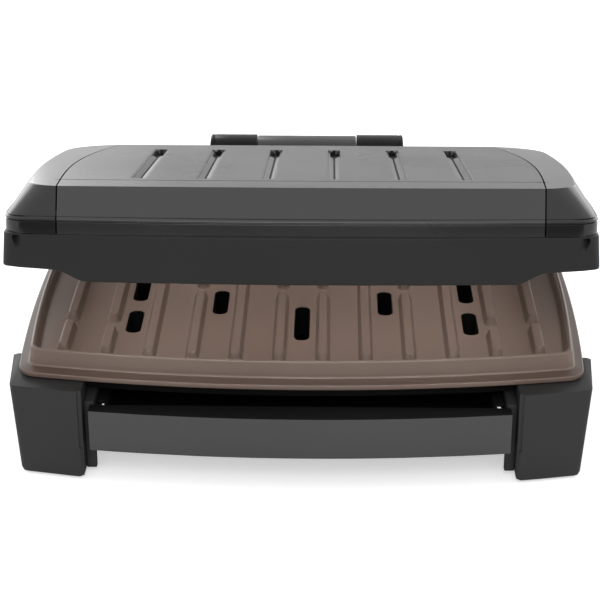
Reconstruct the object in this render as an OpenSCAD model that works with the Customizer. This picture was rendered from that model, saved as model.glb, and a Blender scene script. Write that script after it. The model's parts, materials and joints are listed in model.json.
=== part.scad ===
// Contact grill: a low base on four feet carries a ribbed cooking plate and a slide-out drip tray.
// A lid with a second ribbed plate turns on a pin whose slide blocks also let it float upward.
//
// World frame: +X right, +Y to the back, +Z up, origin on the counter under the middle of the grill.
// Plate frame: x as in the world, y along the cooking floor to the back, z square to it, with the
// origin on the cooking floor below the front ends of the ribs. It is tilted up towards the back.

/* [Cooking plates] */
// Width over the lower plate's flange, at its front corners
plate_w = 323; // [270:1:380]
// Depth over the flange at its corners, front to back
plate_d = 202; // [170:1:240]
// How far the front edge bows forward in the middle
front_bow = 14.5; // [4:0.5:26]
// How far each side bows outward in the middle
side_bow = 4.5; // [0:0.5:8]
// Flange width in front of the rim
flange_front_w = 9; // [6:0.5:12]
// Flange width at the sides and back
flange_side_w = 5.2; // [4:0.1:8]
// Flange thickness
flange_t = 3; // [2:0.1:4]
// Depth of the flange's top below the cooking floor
flange_drop = 4.6; // [4:0.1:8]
// Height of the rim above the cooking floor
rim_h = 5.4; // [3:0.1:8]
// Thickness of the cast floor
floor_t = 3.5; // [2.5:0.1:5]
// Distance from rib to rib
rib_pitch = 25; // [20:0.5:32]
// Width of a rib at its foot
rib_w = 8; // [5:0.5:10]
// Width of a rib at its top
rib_top_w = 5; // [3:0.1:6]
// Height of a rib
rib_h = 5; // [3:0.5:6]
// Width of a drain slot
slot_w = 9.4; // [6:0.1:10]
// Wall of the spout cast under each drain slot
spout_t = 2; // [1.5:0.1:3]
// Gap between the two plates' ribs when the lid is shut
cooking_gap = 2; // [1.5:0.5:6]
// Diameter of the heating tubes
heater_d = 6.5; // [5:0.1:8]

/* [Stance] */
// Height of the cooking floor above the counter at its front
plate_height = 64.5; // [62:0.5:80]
// Tilt of the cooking floor, up towards the back
plate_tilt = 4; // [1:0.5:6]
// Depth of the leg tops below the cooking floor's front
leg_drop = 8.5; // [8.3:0.1:12]
// Depth of a front leg, front to back
leg_d = 48; // [36:1:60]
// How far the feet stand out below the legs
foot_drop = 1; // [0.8:0.1:3]
// Wall of the base housing
base_t = 3; // [2.5:0.1:4]

/* [Drip tray] */
// Width of the tray's front
tray_w = 239; // [210:1:244]
// Height of the tray's front
tray_front_h = 24.6; // [20:0.1:25]
// Height of the tray's front above the counter
tray_clear = 20; // [14:0.5:21]
// Depth of the tray's bowl, front to back
bowl_d = 180; // [130:1:184]
// Wall of the tray
tray_t = 2; // [1.5:0.1:3]

/* [Lid] */
// Angle at which the lid stands open
lid_open = 14; // [0:1:90]
// Height of the lid's top above the cooking floor when shut
lid_top = 50.5; // [48:0.5:60]
// Height of the seam line where skirt and cover meet
skirt_top = 23.5; // [23:0.5:26]
// Height of the cover's widest line
belt_h = 29.7; // [28:0.1:32]
// How far the skirt stands out past the plate's flange at each side
skirt_over = 2.6; // [2.5:0.1:12]
// Wall of the lid's mouldings
lid_t = 2.6; // [2:0.1:3.5]
// Gap between the cover and each end cap
seam_gap = 0.6; // [0.3:0.1:0.8]
// Distance of that seam from the lid's middle, at the front
seam_x = 132.5; // [110:0.5:140]
// Number of grooves in the cover
groove_count = 6; // [2:2:6]
// Distance from groove to groove
groove_pitch = 37.2; // [30:0.1:40]
// Width of a groove
groove_w = 7; // [5:0.5:10]
// Length of a groove
groove_l = 138; // [80:1:142]

/* [Hinge] */
// Height of the hinge pin above the cooking floor
hinge_v = 24; // [22:0.5:28]
// Distance from the lid's back wall to the hinge pin
hinge_back = 29; // [28:0.5:36]
// Radius of the towers that carry the pin
tower_r = 25.7; // [24:0.1:27]
// Width of a tower
tower_w = 31.5; // [26:0.5:40]
// Distance between the towers
tower_gap = 68; // [50:1:90]
// Diameter of the hinge pin
pin_d = 8; // [6:0.5:9]
// How far the hinge floats upward
float_travel = 15; // [8:1:15]

/* [Fits] */
// Gap round a pin that turns
running_gap = 0.05; // [0.02:0.01:0.1]
// Gap between pieces that slide or sit side by side
side_gap = 0.5; // [0.3:0.1:0.8]
// Gap between pieces that rest on each other
seat_gap = 0.3; // [0.1:0.05:0.4]

/* [Hidden] */

corner_steps = 5;   // segments in a rounded corner
front_steps = 12;   // segments along a front or back edge
side_steps = 6;     // segments along a side
rib_steps = 5;      // segments round a rib's end
eps = 0.01;

// Plate frame
flange_apex = -16.2;                     // foremost point of the lower flange
flange_back = flange_apex + front_bow + plate_d;
back_bow = 2;
flange_top = -flange_drop;
flange_bottom = flange_top - flange_t;
plate_corner_r = 9;
rim_corner_r = 5;
lip_r = 0.8;
rim_draft = 0.8;
rim_round = 0.7;
rim_flat = 1.6;
rim_slope = 3;
rim_inset = flange_side_w + rim_draft + rim_round + rim_flat + rim_slope;   // flange edge to floor edge
rim_front_extra = flange_front_w - flange_side_w;

// Tray and rails, as far as the plate's slots depend on them
leg_room = 39.5;                         // from the tray's front to the plate's edge, at least
tray_half = min(tray_w/2, plate_w/2 - leg_room);
leg_gap = 3.8;
leg_in = tray_half + leg_gap;
rail_t = 5.8;
rail_in = leg_in - rail_t;
lip_w = 4.4;

// Ribs
rib_reach = plate_w/2 - rim_inset - rib_w/2 - 1;     // furthest rib centre line
rib_sides = floor((rib_reach - rib_pitch/2)/rib_pitch);
rib_lead = 1.2;                          // from the plate frame's origin to the middle ribs' ends
rib_end_gap = 6;                         // from the rim's floor edge to a rib's end
floor_back = flange_back - rim_inset;    // back edge of the cooking floor
slot_r = 2.4;
spout_bottom = -19;
break_outer = [46.5, 52.5];              // breaks in the ribs, from front part's end to back part's start
break_next = [40.5, 50];
break_inner = [88.5, 98];

// Drain slots: [column, start, length], columns counted in pairs of ribs from the middle.
// Columns that would miss the tray's bowl are dropped.
slot_mid = (flange_back + flange_apex + front_bow)/2 - 5;
slot_long = 43.5;
slot_side = 32;
slot_outer = 29;
slot_columns = floor((rail_in - lip_w - 3 - spout_t - slot_w/2)/(2*rib_pitch));
slot_places = [
  [0, slot_mid - 64.5, slot_long], [0, slot_mid + 22, slot_long],
  [1, slot_mid - 31.5, slot_side], [1, slot_mid + 15.5, slot_side],
  [2, slot_mid - 56.5, slot_outer], [2, slot_mid - slot_outer/2, slot_outer],
  [2, slot_mid + 27.5, slot_outer]];
slot_rows = [for (row = slot_places) if (row[0] <= slot_columns) row];

// Plate bosses and their screws
boss_x = plate_w/2 - 20.5;
boss_y = [36, flange_back - 52];
boss_r = 5;
screw_r = 2;
screw_head_r = 4;
screw_head_h = 2.2;
screw_hole = 0.3;                        // gap round a screw in the sheet it passes through

// Upper plate: the lower plate turned over, with its own front edge
upper_v = rib_h*2 + cooking_gap;         // height of its cooking face
upper_w = plate_w - 8;
upper_apex = -12;
upper_bow = 9;
upper_back = flange_back - 4;
upper_flange = upper_v + flange_drop + flange_t;     // top of its flange

// Heating tubes
heater_r = heater_d/2;
heater_v = -floor_t - heater_r - seat_gap/3;
heater_reach = boss_x - boss_r - heater_r - 1.5;     // furthest run
heater_pitch = min(rib_pitch, heater_reach/5);       // half the distance between neighbouring runs
heater_front = 14;
heater_back = flange_back - 14;
heater_corner_r = 20;                    // outer corners at the back
heater_end = heater_pitch + 10;          // half the distance between a tube's two ends
terminal_r = 1.6;
terminal_l = 9;

// Reflectors
reflector_inset = 12;
reflector_h = 3.6;
reflector_t = 1;

// Tub of the base
deck_top = -15.5;
deck_t = 2.5;
tub_over = 0.4;                          // tub outside the flange at the sides
tub_setback = 12;                        // tub behind the flange at the front
tub_top = flange_bottom - seat_gap;
window_ledge = 3;                        // deck inside the rails, at each side
window_r = 6;
wall_low = -56;

// World frame
depth_front = 30;                        // from the plate frame's origin to the foremost point
gland_lip = 2;                           // how far the cord gland stands out behind
axis_u = flange_back + 3 + hinge_back;   // pin, along the cooking floor
axis_run = axis_u*cos(plate_tilt) - hinge_v*sin(plate_tilt);
plate_y = -(axis_run + tower_r + gland_lip - depth_front)/2;
axis_y = plate_y + axis_run;
axis_z = plate_height + axis_u*sin(plate_tilt) + hinge_v*cos(plate_tilt);
back_y = axis_y + tower_r;
front_arc_r = 850;                       // bow of the tray's front, seen from above
leg_arc_r = 683;                         // the same for the legs' fronts, which lie on an arc of their own
leg_arc_lead = 2;                        // that arc's foremost point ahead of the tray's

// Front legs
leg_h = plate_height - leg_drop;
leg_out = plate_w/2 + 3.7;
leg_flare = 4.5;                         // how far a leg widens from front to back
leg_draft = 4.2;                         // how far a leg widens from foot to top
leg_round = 4;
leg_wall = 3;
leg_socket = 6.5;                        // from the leg's outline to the foot's socket
foot_h = 6;
leg_back = -16.3 + leg_d;                // behind the plate frame's origin
channel_w = 2.4;                         // room let into the leg beside the tray's front
channel_foot = 20;                       // its lowest point above the counter
channel_back = -19;                      // its back end, behind the plate frame's origin
channel_r = 1.2;

// Rails and rear legs
join_gap = 0.1;                          // between pieces of the base that are fixed to each other
rail_front = -12;
rail_foot_z = 3.5;                       // lowest point of the rail's front end
rail_foot_d = 4;                         // depth of that end, front to back
ledge_w = 3.5;
ledge_h = 2.3;
ledge_start = 16;                        // from a rail's front to its ledge
rear_leg_w = plate_w/2 - leg_in - 4.2;
rear_leg_y = plate_y + flange_back - 44;
rear_leg_h = plate_height;               // before it is cut off under the deck
rear_leg_d = 38;
rail_clear = 28;                         // underside of the rails above the counter
skirt_clear = 25;                        // underside of the side walls above the counter

// Tray
tray_top = tray_clear + tray_front_h;
fascia_back = -13;
fascia_t = 3;
lip_t = 2;
bowl_w = 2*(rail_in - lip_w - 0.6);
bowl_floor = tray_clear + 3;
rim_z = tray_top - 3.3;

// Rear box of the base
box_w = 150;
box_front = plate_y + (flange_back + back_bow)*cos(plate_tilt) - flange_bottom*sin(plate_tilt) + side_gap;
box_bottom = 31;
// Front of the box's hollow, less its wall: behind the tub's back wall, which leans with the plate
box_wall = plate_y + (flange_back + back_bow + tub_over + join_gap)/cos(plate_tilt)
  + (plate_height - box_bottom)*tan(plate_tilt);
box_top = axis_z - tower_r - 1.5;
box_mid = (box_bottom + box_top)/2;
gland_x = 45;
gland_r = 7;
cable_r = 3.6;
wire_way = 60;                           // width of the opening for the inner leads, in the tub's wall
wire_slot = wire_way - 4;                // the same in the box's wall
cover_boss_r = 4.5;
cover_boss_l = 14;
cover_screw_r = 1.4;
cover_hole = 0.4;                        // gap round those screws in the cover

// Hinge
pin_r = pin_d/2;
tower_in = tower_gap/2;
tower_out = tower_in + tower_w;
tower_cap_t = 3;
block_w = 12;
block_l = tower_w - tower_cap_t - 2*side_gap;
barrel_r = tower_r - 0.7;
barrel_w = tower_gap - 2*side_gap;
hinge_screw_v = 16;
hinge_screw_x = 24;
hinge_screw_r = 1.6;

// Lid outlines at each height: [height, half width, apex, bow, back, side bow, front r, back r]
lid_tilt = 0.015;                        // fall of the lid's top towards the back
lid_half = plate_w/2 + skirt_over;
lid_back = flange_back + 3;
seam_front = min(seam_x, lid_half - 24);
skirt_low = [-3, lid_half, -17, 10, lid_back, side_bow, 14, 22];
skirt_high = [skirt_top, lid_half - 1, -17.5, 9.5, lid_back, side_bow, 14, 22];
recess_low = [skirt_top, lid_half - 3.5, -14, 7, lid_back - 2, side_bow, 12, 20];
recess_high = [belt_h, lid_half - 3.5, -14, 7, lid_back - 2, side_bow, 12, 20];
belt_low = [belt_h, lid_half - 1.9, -16, 7, lid_back, side_bow, 14, 24];
belt_high = [belt_h + 1.2, lid_half - 1.9, -16, 7, lid_back, side_bow, 14, 24];
top_low = [lid_top - 1.9, lid_half - 13.7, -3, 2.5, lid_back - 10, side_bow + 2.4, 18, 32];
top_high = [lid_top, lid_half - 17.7, 5, 2, lid_back - 17, side_bow + 2.4, 16, 30];
ledge_h_lid = skirt_top - upper_flange - seat_gap;
groove_front = 17.6;                     // front end of the grooves
groove_edge = 0.4;                       // depth of a groove's side walls
groove_depth = 2;                        // depth of its middle
pocket_depth = 3.4;
pocket_l = 18;
ledge_inset = 14;
skirt_rise = 7.5;                        // how much higher the skirt ends at its corners
skirt_rise_in = lid_half - 50;
skirt_rise_out = lid_half - 28;

// ---------------------------------------------------------------- outlines

function arc(c, r, from, to, n) =
  [for (i = [0:n]) let(a = from + (to - from)*i/n) c + r*[cos(a), sin(a)]];

function between(a, b, n) = [for (i = [1:n - 1]) a + (b - a)*i/n];

function last(v) = v[len(v) - 1];

// The four corners of a rectangle from x = -w to w and y = y0 to y1, counter-clockwise from the back
function corners(w, y0, y1, front_r, back_r) =
  let(rf = max(front_r, 1), rb = max(back_r, 1))
  [arc([w - rb, y1 - rb], rb, 0, 90, corner_steps),
   arc([rb - w, y1 - rb], rb, 90, 180, corner_steps),
   arc([rf - w, y0 + rf], rf, 180, 270, corner_steps),
   arc([w - rf, y0 + rf], rf, 270, 360, corner_steps)];

function rounded_rect(w, y0, y1, front_r, back_r) =
  [for (c = corners(w, y0, y1, front_r, back_r)) each c];

// The same with points along its edges, which can then be bowed
function stepped_rect(w, y0, y1, front_r, back_r) =
  let(c = corners(w, y0, y1, front_r, back_r), steps = [front_steps, side_steps, front_steps, side_steps])
  [for (i = [0:3]) each concat(c[i], between(last(c[i]), c[(i + 1)%4][0], steps[i]))];

// Rounded rectangle with its sides, front and back edges bowed outward
function bowed_rect(w, y0, y1, front_r, back_r, side, front, back) =
  [for (p = stepped_rect(w, y0, y1, front_r, back_r))
    let(s = p.x/w, t = (2*p.y - y0 - y1)/(y1 - y0))
    [p.x + side*s*(1 - t*t),
     p.y - front*(1 - s*s)*(1 - t)/2 + back*(1 - s*s)*(1 + t)/2]];

function at(outline, z) = [for (p = outline) [p.x, p.y, z]];

// Outline with straight sides and round ends, along y at x
function stadium(x, y0, y1, r) =
  concat(arc([x, y1 - r], r, 0, 180, rib_steps), arc([x, y0 + r], r, 180, 360, rib_steps));

// Plate outline, inset from the flange's edge; extra is added at the front
function plate_outline(width, apex, bow, back, inset, extra) =
  let(w = width/2 - inset, b = bow*pow(2*w/width, 2), r = max(plate_corner_r - inset, rim_corner_r))
  bowed_rect(w, apex + inset + extra + b, back - inset, r, r, side_bow, b, back_bow);

function lower_outline(inset, extra = 0) =
  plate_outline(plate_w, flange_apex, front_bow, flange_back, inset, extra);

// Lid outline from a row of the list above, drawn in by inset
function lid_outline(row, inset) =
  let(w = row[1] - inset, b = row[3]*pow(w/row[1], 2))
  bowed_rect(w, row[2] + inset + b, row[4] - inset, row[6] - inset, row[7] - inset,
    row[5], b, 0);

// The lid's upper rings fall slightly towards the back
function lid_ring(row, inset = 0, drop = 0, tilt = 0) =
  [for (p = lid_outline(row, inset)) [p.x, p.y, row[0] - drop - tilt*p.y]];

// Where a front face's arc lies at x, behind the foremost point
function arc_back(x, r) = x*x/(2*r);

// Seam between cover and end cap, as a distance from the middle at depth y
function seam_at(y) = seam_front + 0.0813*y - 4.05e-6*pow(y, 3);

// ---------------------------------------------------------------- shared solids

// Solid through a stack of outlines with equal counts, lowest first, each counter-clockwise
module loft(rings) {
  n = len(rings[0]);
  m = len(rings);
  walls = [for (j = [0:m - 2]) for (i = [0:n - 1])
    let(a = j*n + i, b = j*n + (i + 1)%n)
    each [[a, b + n, b], [a, a + n, b + n]]];
  floor_face = [for (i = [0:n - 1]) i];
  roof_face = [for (i = [n - 1:-1:0]) (m - 1)*n + i];
  polyhedron([for (r = rings) each r], concat([floor_face], walls, [roof_face]));
}

module prism(outline, z0, z1)
  translate([0, 0, z0]) linear_extrude(z1 - z0) polygon(outline);

module on_plate()
  translate([0, plate_y, plate_height]) rotate([plate_tilt, 0, 0]) children();

// Shut position of the lid is drawn in the plate frame; this stands it open
module on_lid()
  on_plate()
    translate([0, axis_u, hinge_v]) rotate([-lid_open, 0, 0]) translate([0, -axis_u, -hinge_v])
      children();

module both_sides() {
  children();
  mirror([1, 0, 0]) children();
}

// Profile in y and z, extruded along x from x0 to x1
module side_profile(x0, x1)
  translate([x0, 0, 0]) rotate([90, 0, 90]) linear_extrude(x1 - x0) children();

// Profile in x and z, extruded along y from y0 to y1
module front_profile(y0, y1)
  translate([0, y1, 0]) rotate([90, 0, 0]) linear_extrude(y1 - y0) children();

// ---------------------------------------------------------------- cooking plates

// Cast tray with rim and flange, open below
module plate_casting(width, apex, bow, back) {
  s = flange_side_w;
  e = rim_front_extra;
  difference() {
    loft([
      at(plate_outline(width, apex, bow, back, 0, 0), flange_bottom),
      at(plate_outline(width, apex, bow, back, 0, 0), flange_top - lip_r),
      at(plate_outline(width, apex, bow, back, lip_r, 0), flange_top),
      at(plate_outline(width, apex, bow, back, s, e), flange_top),
      at(plate_outline(width, apex, bow, back, s + rim_draft, e), rim_h - rim_round),
      at(plate_outline(width, apex, bow, back, s + rim_draft + rim_round, e), rim_h),
      at(plate_outline(width, apex, bow, back, rim_inset - rim_slope, e), rim_h),
      at(plate_outline(width, apex, bow, back, rim_inset, e), 0)]);
    prism(plate_outline(width, apex, bow, back, rim_inset - 2, e), flange_bottom - 1, -floor_t);
  }
}

// Rib with sloping flanks and round ends
module rib(x, y0, y1) {
  foot_r = rib_w/2;
  top_r = rib_top_w/2;
  shoulder = 1;
  loft([
    at(stadium(x, y0, y1, foot_r), -0.5),
    at(stadium(x, y0, y1, foot_r), 0),
    at(stadium(x, y0 + 1, y1 - 1, top_r + 0.5), rib_h - shoulder),
    at(stadium(x, y0 + 2, y1 - 2, top_r - 0.5), rib_h)]);
}

// Front end of the rib at x, behind the bowed rim
function rib_front(x, bow) = rib_lead + (bow + rib_lead)*pow(2*x/plate_w, 2);

module drain_slot(row, grow, z0, z1) {
  x = row[0]*2*rib_pitch;
  r = slot_r + grow;
  translate([x, 0, 0])
    prism(rounded_rect(slot_w/2 + grow, row[1] - grow, row[1] + row[2] + grow, r, r), z0, z1);
}

module drain_slots(grow, z0, z1)
  both_sides() for (row = slot_rows) drain_slot(row, grow, z0, z1);

module plate_bosses(z0, z1)
  for (x = [-boss_x, boss_x], y = boss_y) translate([x, y, z0]) cylinder(r = boss_r, h = z1 - z0, $fn = 32);

module boss_bores(z0, z1)
  for (x = [-boss_x, boss_x], y = boss_y) translate([x, y, z0]) cylinder(r = screw_r, h = z1 - z0, $fn = 24);

// Lower ribs: the outermost two columns and every other inner one are broken, as at the slots
module lower_ribs()
  both_sides() for (k = [0:rib_sides]) {
    x = (k + 0.5)*rib_pitch;
    front = rib_front(x, front_bow);
    back = floor_back - rib_end_gap;
    if (k == rib_sides) {
      rib(x, front, break_outer[0]);
      rib(x, break_outer[1], back);
    } else if (k == rib_sides - 1) {
      rib(x, front, break_next[0]);
      rib(x, break_next[1], back);
    } else if (k % 2 == 0) {
      rib(x, front, break_inner[0]);
      rib(x, break_inner[1], back);
    } else
      rib(x, front, back);
  }

module lower_plate()
  color([0.36, 0.29, 0.25]) on_plate() difference() {
    union() {
      plate_casting(plate_w, flange_apex, front_bow, flange_back);
      lower_ribs();
      drain_slots(spout_t, spout_bottom, -floor_t + eps);
      plate_bosses(deck_top, -floor_t + eps);
    }
    drain_slots(0, spout_bottom - 1, rib_h + 1);
    boss_bores(deck_top - 1, -floor_t - 1.5);
  }

module upper_plate()
  color([0.36, 0.29, 0.25]) on_lid() difference() {
    union() {
      translate([0, 0, upper_v]) mirror([0, 0, 1]) {
        plate_casting(upper_w, upper_apex, upper_bow, upper_back);
        both_sides() for (k = [0:rib_sides]) {
          x = (k + 0.5)*rib_pitch;
          rib(x, rib_front(x, upper_bow) + 6, upper_back - rim_inset - rib_end_gap);
        }
      }
      plate_bosses(upper_v + floor_t - eps, skirt_top + seat_gap);
    }
    boss_bores(upper_v + floor_t + 1.5, skirt_top + 2);
  }

// ---------------------------------------------------------------- heating

// Straight run and quarter-bend pieces of a bent tube lying flat at height z
module run(a, b) {
  d = b - a;
  translate([a.x, a.y, 0]) rotate([0, 0, atan2(d.y, d.x)]) rotate([0, 90, 0])
    cylinder(r = heater_r, h = norm(d), $fn = 24);
}

module bend(c, r, from, sweep)
  translate([c.x, c.y, 0]) rotate([0, 0, from])
    rotate_extrude(angle = sweep, $fn = 48) translate([r, 0]) circle(heater_r, $fn = 24);

// Half of the tube: from its terminal at the back to the middle of the front
module heater_half() {
  p = heater_pitch;
  front_c = heater_front + p;
  back_c = heater_back - 12 - p;
  corner = [5*p - heater_corner_r, heater_back - heater_corner_r];
  run([heater_end, heater_back], [corner.x, heater_back]);
  bend(corner, heater_corner_r, 0, 90);
  run([5*p, corner.y], [5*p, front_c]);
  bend([4*p, front_c], p, 180, 180);
  run([3*p, front_c], [3*p, back_c]);
  bend([2*p, back_c], p, 0, 180);
  run([p, back_c], [p, front_c]);
  bend([0, front_c], p, 270, 90);
}

module heater_tube() {
  both_sides() heater_half();
  both_sides() translate([heater_end, heater_back, 0]) rotate([0, -90, 0])
    cylinder(r = terminal_r, h = terminal_l, $fn = 16);
}

module lower_heater()
  color([0.45, 0.43, 0.42]) on_plate() translate([0, 0, heater_v]) heater_tube();

module upper_heater()
  color([0.45, 0.43, 0.42]) on_lid()
    translate([0, upper_back - flange_back, upper_v - heater_v]) heater_tube();

// Thin pan that throws the heat back, standing on its turned-down edge
module reflector_pan(z_edge) {
  setback = 8;
  difference() {
    prism(lower_outline(reflector_inset, setback), z_edge, z_edge + reflector_h);
    prism(lower_outline(reflector_inset + reflector_t, setback), z_edge - 1,
      z_edge + reflector_h - reflector_t);
  }
}

module lower_reflector()
  color([0.72, 0.72, 0.7]) on_plate() difference() {
    reflector_pan(deck_top);
    drain_slots(spout_t + 1, deck_top - 1, 0);
    for (x = [-boss_x, boss_x], y = boss_y)
      translate([x, y, deck_top - 1]) cylinder(r = boss_r + side_gap, h = 6, $fn = 32);
  }

module upper_reflector()
  color([0.72, 0.72, 0.7]) on_lid() difference() {
    reflector_pan(skirt_top);
    for (x = [-boss_x, boss_x], y = boss_y)
      translate([x, y, skirt_top - 1]) cylinder(r = screw_r + screw_hole, h = 8, $fn = 24);
  }

// Snap-action disc switch held against the plate's underside
module thermostat()
  color([0.75, 0.7, 0.6]) on_plate() translate([0, slot_mid, -floor_t - 0.1]) {
    mirror([0, 0, 1]) cylinder(r = 8, h = 3, $fn = 32);
    mirror([0, 0, 1]) cylinder(r = 6.5, h = 7, $fn = 32);
    for (y = [-9, 9]) translate([-2.5, y - 3, -1]) cube([5, 6, 1]);
  }

// One-shot fuse in its sleeve, clipped across the plate's underside
module thermal_fuse()
  color([0.85, 0.82, 0.75]) on_plate()
    translate([-2*rib_pitch - 12, slot_mid + 8, -floor_t - 2.3]) rotate([0, 90, 0]) {
      cylinder(r = 2.2, h = 20, $fn = 24);
      translate([0, 0, -5]) cylinder(r = 0.6, h = 30, $fn = 16);
    }

// Screws from below through the deck into the plate's bosses
module screw(head_z, tip_z)
  translate([0, 0, min(head_z, tip_z)]) union() {
    cylinder(r = screw_r - 0.1, h = abs(tip_z - head_z), $fn = 24);
    if (head_z < tip_z)
      translate([0, 0, -screw_head_h]) cylinder(r = screw_head_r, h = screw_head_h, $fn = 24);
    else
      translate([0, 0, head_z - tip_z]) cylinder(r = screw_head_r, h = screw_head_h, $fn = 24);
  }

module lower_plate_screws()
  color([0.6, 0.6, 0.6]) on_plate() for (x = [-boss_x, boss_x], y = boss_y)
    translate([x, y, 0]) screw(deck_top - deck_t, -floor_t - 2);

module upper_plate_screws()
  color([0.6, 0.6, 0.6]) on_lid() for (x = [-boss_x, boss_x], y = boss_y)
    translate([x, y, 0]) screw(skirt_top + reflector_h, upper_v + floor_t + 2);

// ---------------------------------------------------------------- base

// Outline of a right front leg at height z, drawn in by inset
function leg_outline(z, inset) =
  let(
    draft = leg_draft*(1 - z/leg_h),
    x0 = leg_in + inset,
    x1 = leg_out - draft - inset,
    x2 = leg_out + leg_flare - draft - inset,
    y_front = -depth_front - leg_arc_lead + inset,
    y_back = leg_back - inset,
    r = max(leg_round - inset, 1),
    edge = [for (i = [0:6]) let(x = x0 + 2 + (x1 - r - x0 - 2)*i/6) [x, y_front + arc_back(x, leg_arc_r)]],
    outer = [x1 - r, y_front + arc_back(x1 - r, leg_arc_r) + r])
  concat(
    [[x0, y_front + arc_back(x0, leg_arc_r) + 2]], edge,
    [for (i = [1:4]) let(a = -90 + 90*i/5) outer + r*[cos(a), sin(a)]],
    [[x1, outer.y + 0.5], [x2, y_back - 2], [x2 - 2, y_back], [x0, y_back]]);

module leg_shell() {
  toe = 3;
  difference() {
    loft([
      at(leg_outline(foot_drop, 2.2), foot_drop),
      at(leg_outline(foot_drop + 1, 0.7), foot_drop + 1),
      at(leg_outline(foot_drop + toe, 0), foot_drop + toe),
      at(leg_outline(leg_h, 0), leg_h)]);
    loft([
      at(leg_outline(foot_h + foot_drop, leg_wall + 1), foot_h + foot_drop - eps),
      at(leg_outline(leg_h, leg_wall + 1), leg_h - leg_wall)]);
    prism(leg_outline(0, leg_socket), 0, foot_h + foot_drop + eps);
  }
}

// Room beside the tray's front, let into the inner side of a leg
module leg_channel()
  front_profile(-depth_front - leg_arc_lead - 1, channel_back) hull() {
    translate([leg_in - 1, leg_h]) square([channel_w + 1, 1]);
    translate([leg_in - 1, channel_foot]) square([1, 1]);
    translate([leg_in + channel_w - channel_r, channel_foot + channel_r]) circle(channel_r, $fn = 24);
  }

// The leg's top ends below the deck where it passes under the plate
module front_leg()
  color([0.2, 0.2, 0.2]) difference() {
    translate([0, plate_y, 0]) difference() {
      leg_shell();
      leg_channel();
    }
    on_plate() prism(tub_outline(-join_gap), deck_top - deck_t - join_gap, 0);
  }

module front_leg_right() front_leg();
module front_leg_left() mirror([1, 0, 0]) front_leg();

module front_foot()
  color([0.12, 0.12, 0.12]) translate([0, plate_y, 0])
    prism(leg_outline(0, leg_socket + seat_gap), 0, foot_h + foot_drop - seat_gap);

module foot_front_right() front_foot();
module foot_front_left() mirror([1, 0, 0]) front_foot();

// Outline of a right rear leg
function rear_leg_outline(inset) =
  let(w = rear_leg_w/2 - inset)
  [for (p = rounded_rect(w, inset, rear_leg_d - inset, 5 - inset, 5 - inset))
    p + [leg_in + rear_leg_w/2, rear_leg_y]];

module rear_leg()
  color([0.2, 0.2, 0.2]) difference() {
    loft([
      at(rear_leg_outline(2), foot_drop),
      at(rear_leg_outline(0), foot_drop + 2),
      at(rear_leg_outline(0), rear_leg_h)]);
    on_plate() prism(tub_outline(-base_t), deck_top - deck_t - join_gap, plate_height);
    difference() {
      prism(rear_leg_outline(leg_wall), foot_h + foot_drop - eps, rear_leg_h);
      on_plate() prism(tub_outline(-base_t), deck_top - deck_t - leg_wall, plate_height);
    }
    prism(rear_leg_outline(leg_wall + 1), 0, foot_h + foot_drop);
  }

module rear_leg_right() rear_leg();
module rear_leg_left() mirror([1, 0, 0]) rear_leg();

module rear_foot()
  color([0.12, 0.12, 0.12])
    prism(rear_leg_outline(leg_wall + 1 + seat_gap), 0, foot_h + foot_drop - seat_gap);

module foot_rear_right() rear_foot();
module foot_rear_left() mirror([1, 0, 0]) rear_foot();

// Outline of the tub, a little outside the flange at the sides and set back in front
function tub_outline(inset) = lower_outline(inset - tub_over, tub_setback + tub_over);

// Opening in the deck through which all the spouts reach down to the tray
module deck_window(z0, z1) {
  margin = spout_t + 1;
  start = min([for (row = slot_rows) row[1]]) - margin;
  end = max([for (row = slot_rows) row[1] + row[2]]) + margin;
  prism(rounded_rect(rail_in - window_ledge, start, end, window_r, window_r), z0, z1);
}

// Tub under the plate: deck round the spouts, and walls that reach down behind the front legs
module tub()
  difference() {
    prism(tub_outline(0), wall_low, tub_top);
    prism(tub_outline(base_t), deck_top, 0);
    prism(tub_outline(base_t), wall_low - 1, deck_top - deck_t);
    deck_window(deck_top - deck_t - 1, 0);
    for (x = [-boss_x, boss_x], y = boss_y)
      translate([x, y, deck_top - deck_t - 1]) cylinder(r = screw_r + screw_hole, h = deck_t + 2, $fn = 24);
    translate([-wire_way/2, flange_back - 20, deck_top]) cube([wire_way, 30, 5]);
  }

// Underside of the deck, as a height in the world at depth y behind the plate frame's origin
function deck_z(y) = plate_height + y*tan(plate_tilt) + (deck_top - deck_t - join_gap)/cos(plate_tilt);

// Rail inside the legs, hung from the deck, with the ledge that carries the tray
module side_rail() {
  front = rail_front + side_gap;
  back = flange_back - base_t;
  color([0.2, 0.2, 0.2]) translate([0, plate_y, 0]) {
    side_profile(rail_in, leg_in - join_gap)
      polygon([[front, rail_foot_z], [front + rail_foot_d, rail_foot_z], [front + rail_foot_d, rail_clear],
        [back, rail_clear], [back, deck_z(back)], [front, deck_z(front)]]);
    translate([rail_in - ledge_w, front + ledge_start, rim_z - lip_t - ledge_h - seat_gap])
      cube([ledge_w + 1, bowl_d - 20, ledge_h]);
  }
}

module side_rail_right() side_rail();
module side_rail_left() mirror([1, 0, 0]) side_rail();

module tower_outline() {
  translate([axis_y, axis_z]) circle(tower_r, $fn = 96);
  translate([axis_y - tower_r, box_top - 2]) square([2*tower_r, axis_z - box_top + 2]);
}

// Slot in which the slide block travels
module tower_slot()
  translate([axis_y - block_w/2 - running_gap, axis_z - block_w/2 - running_gap])
    square([block_w + 2*running_gap, block_w + float_travel + 2*running_gap]);

module tower()
  side_profile(tower_in, tower_out - tower_cap_t) difference() {
    tower_outline();
    tower_slot();
  }

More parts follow.
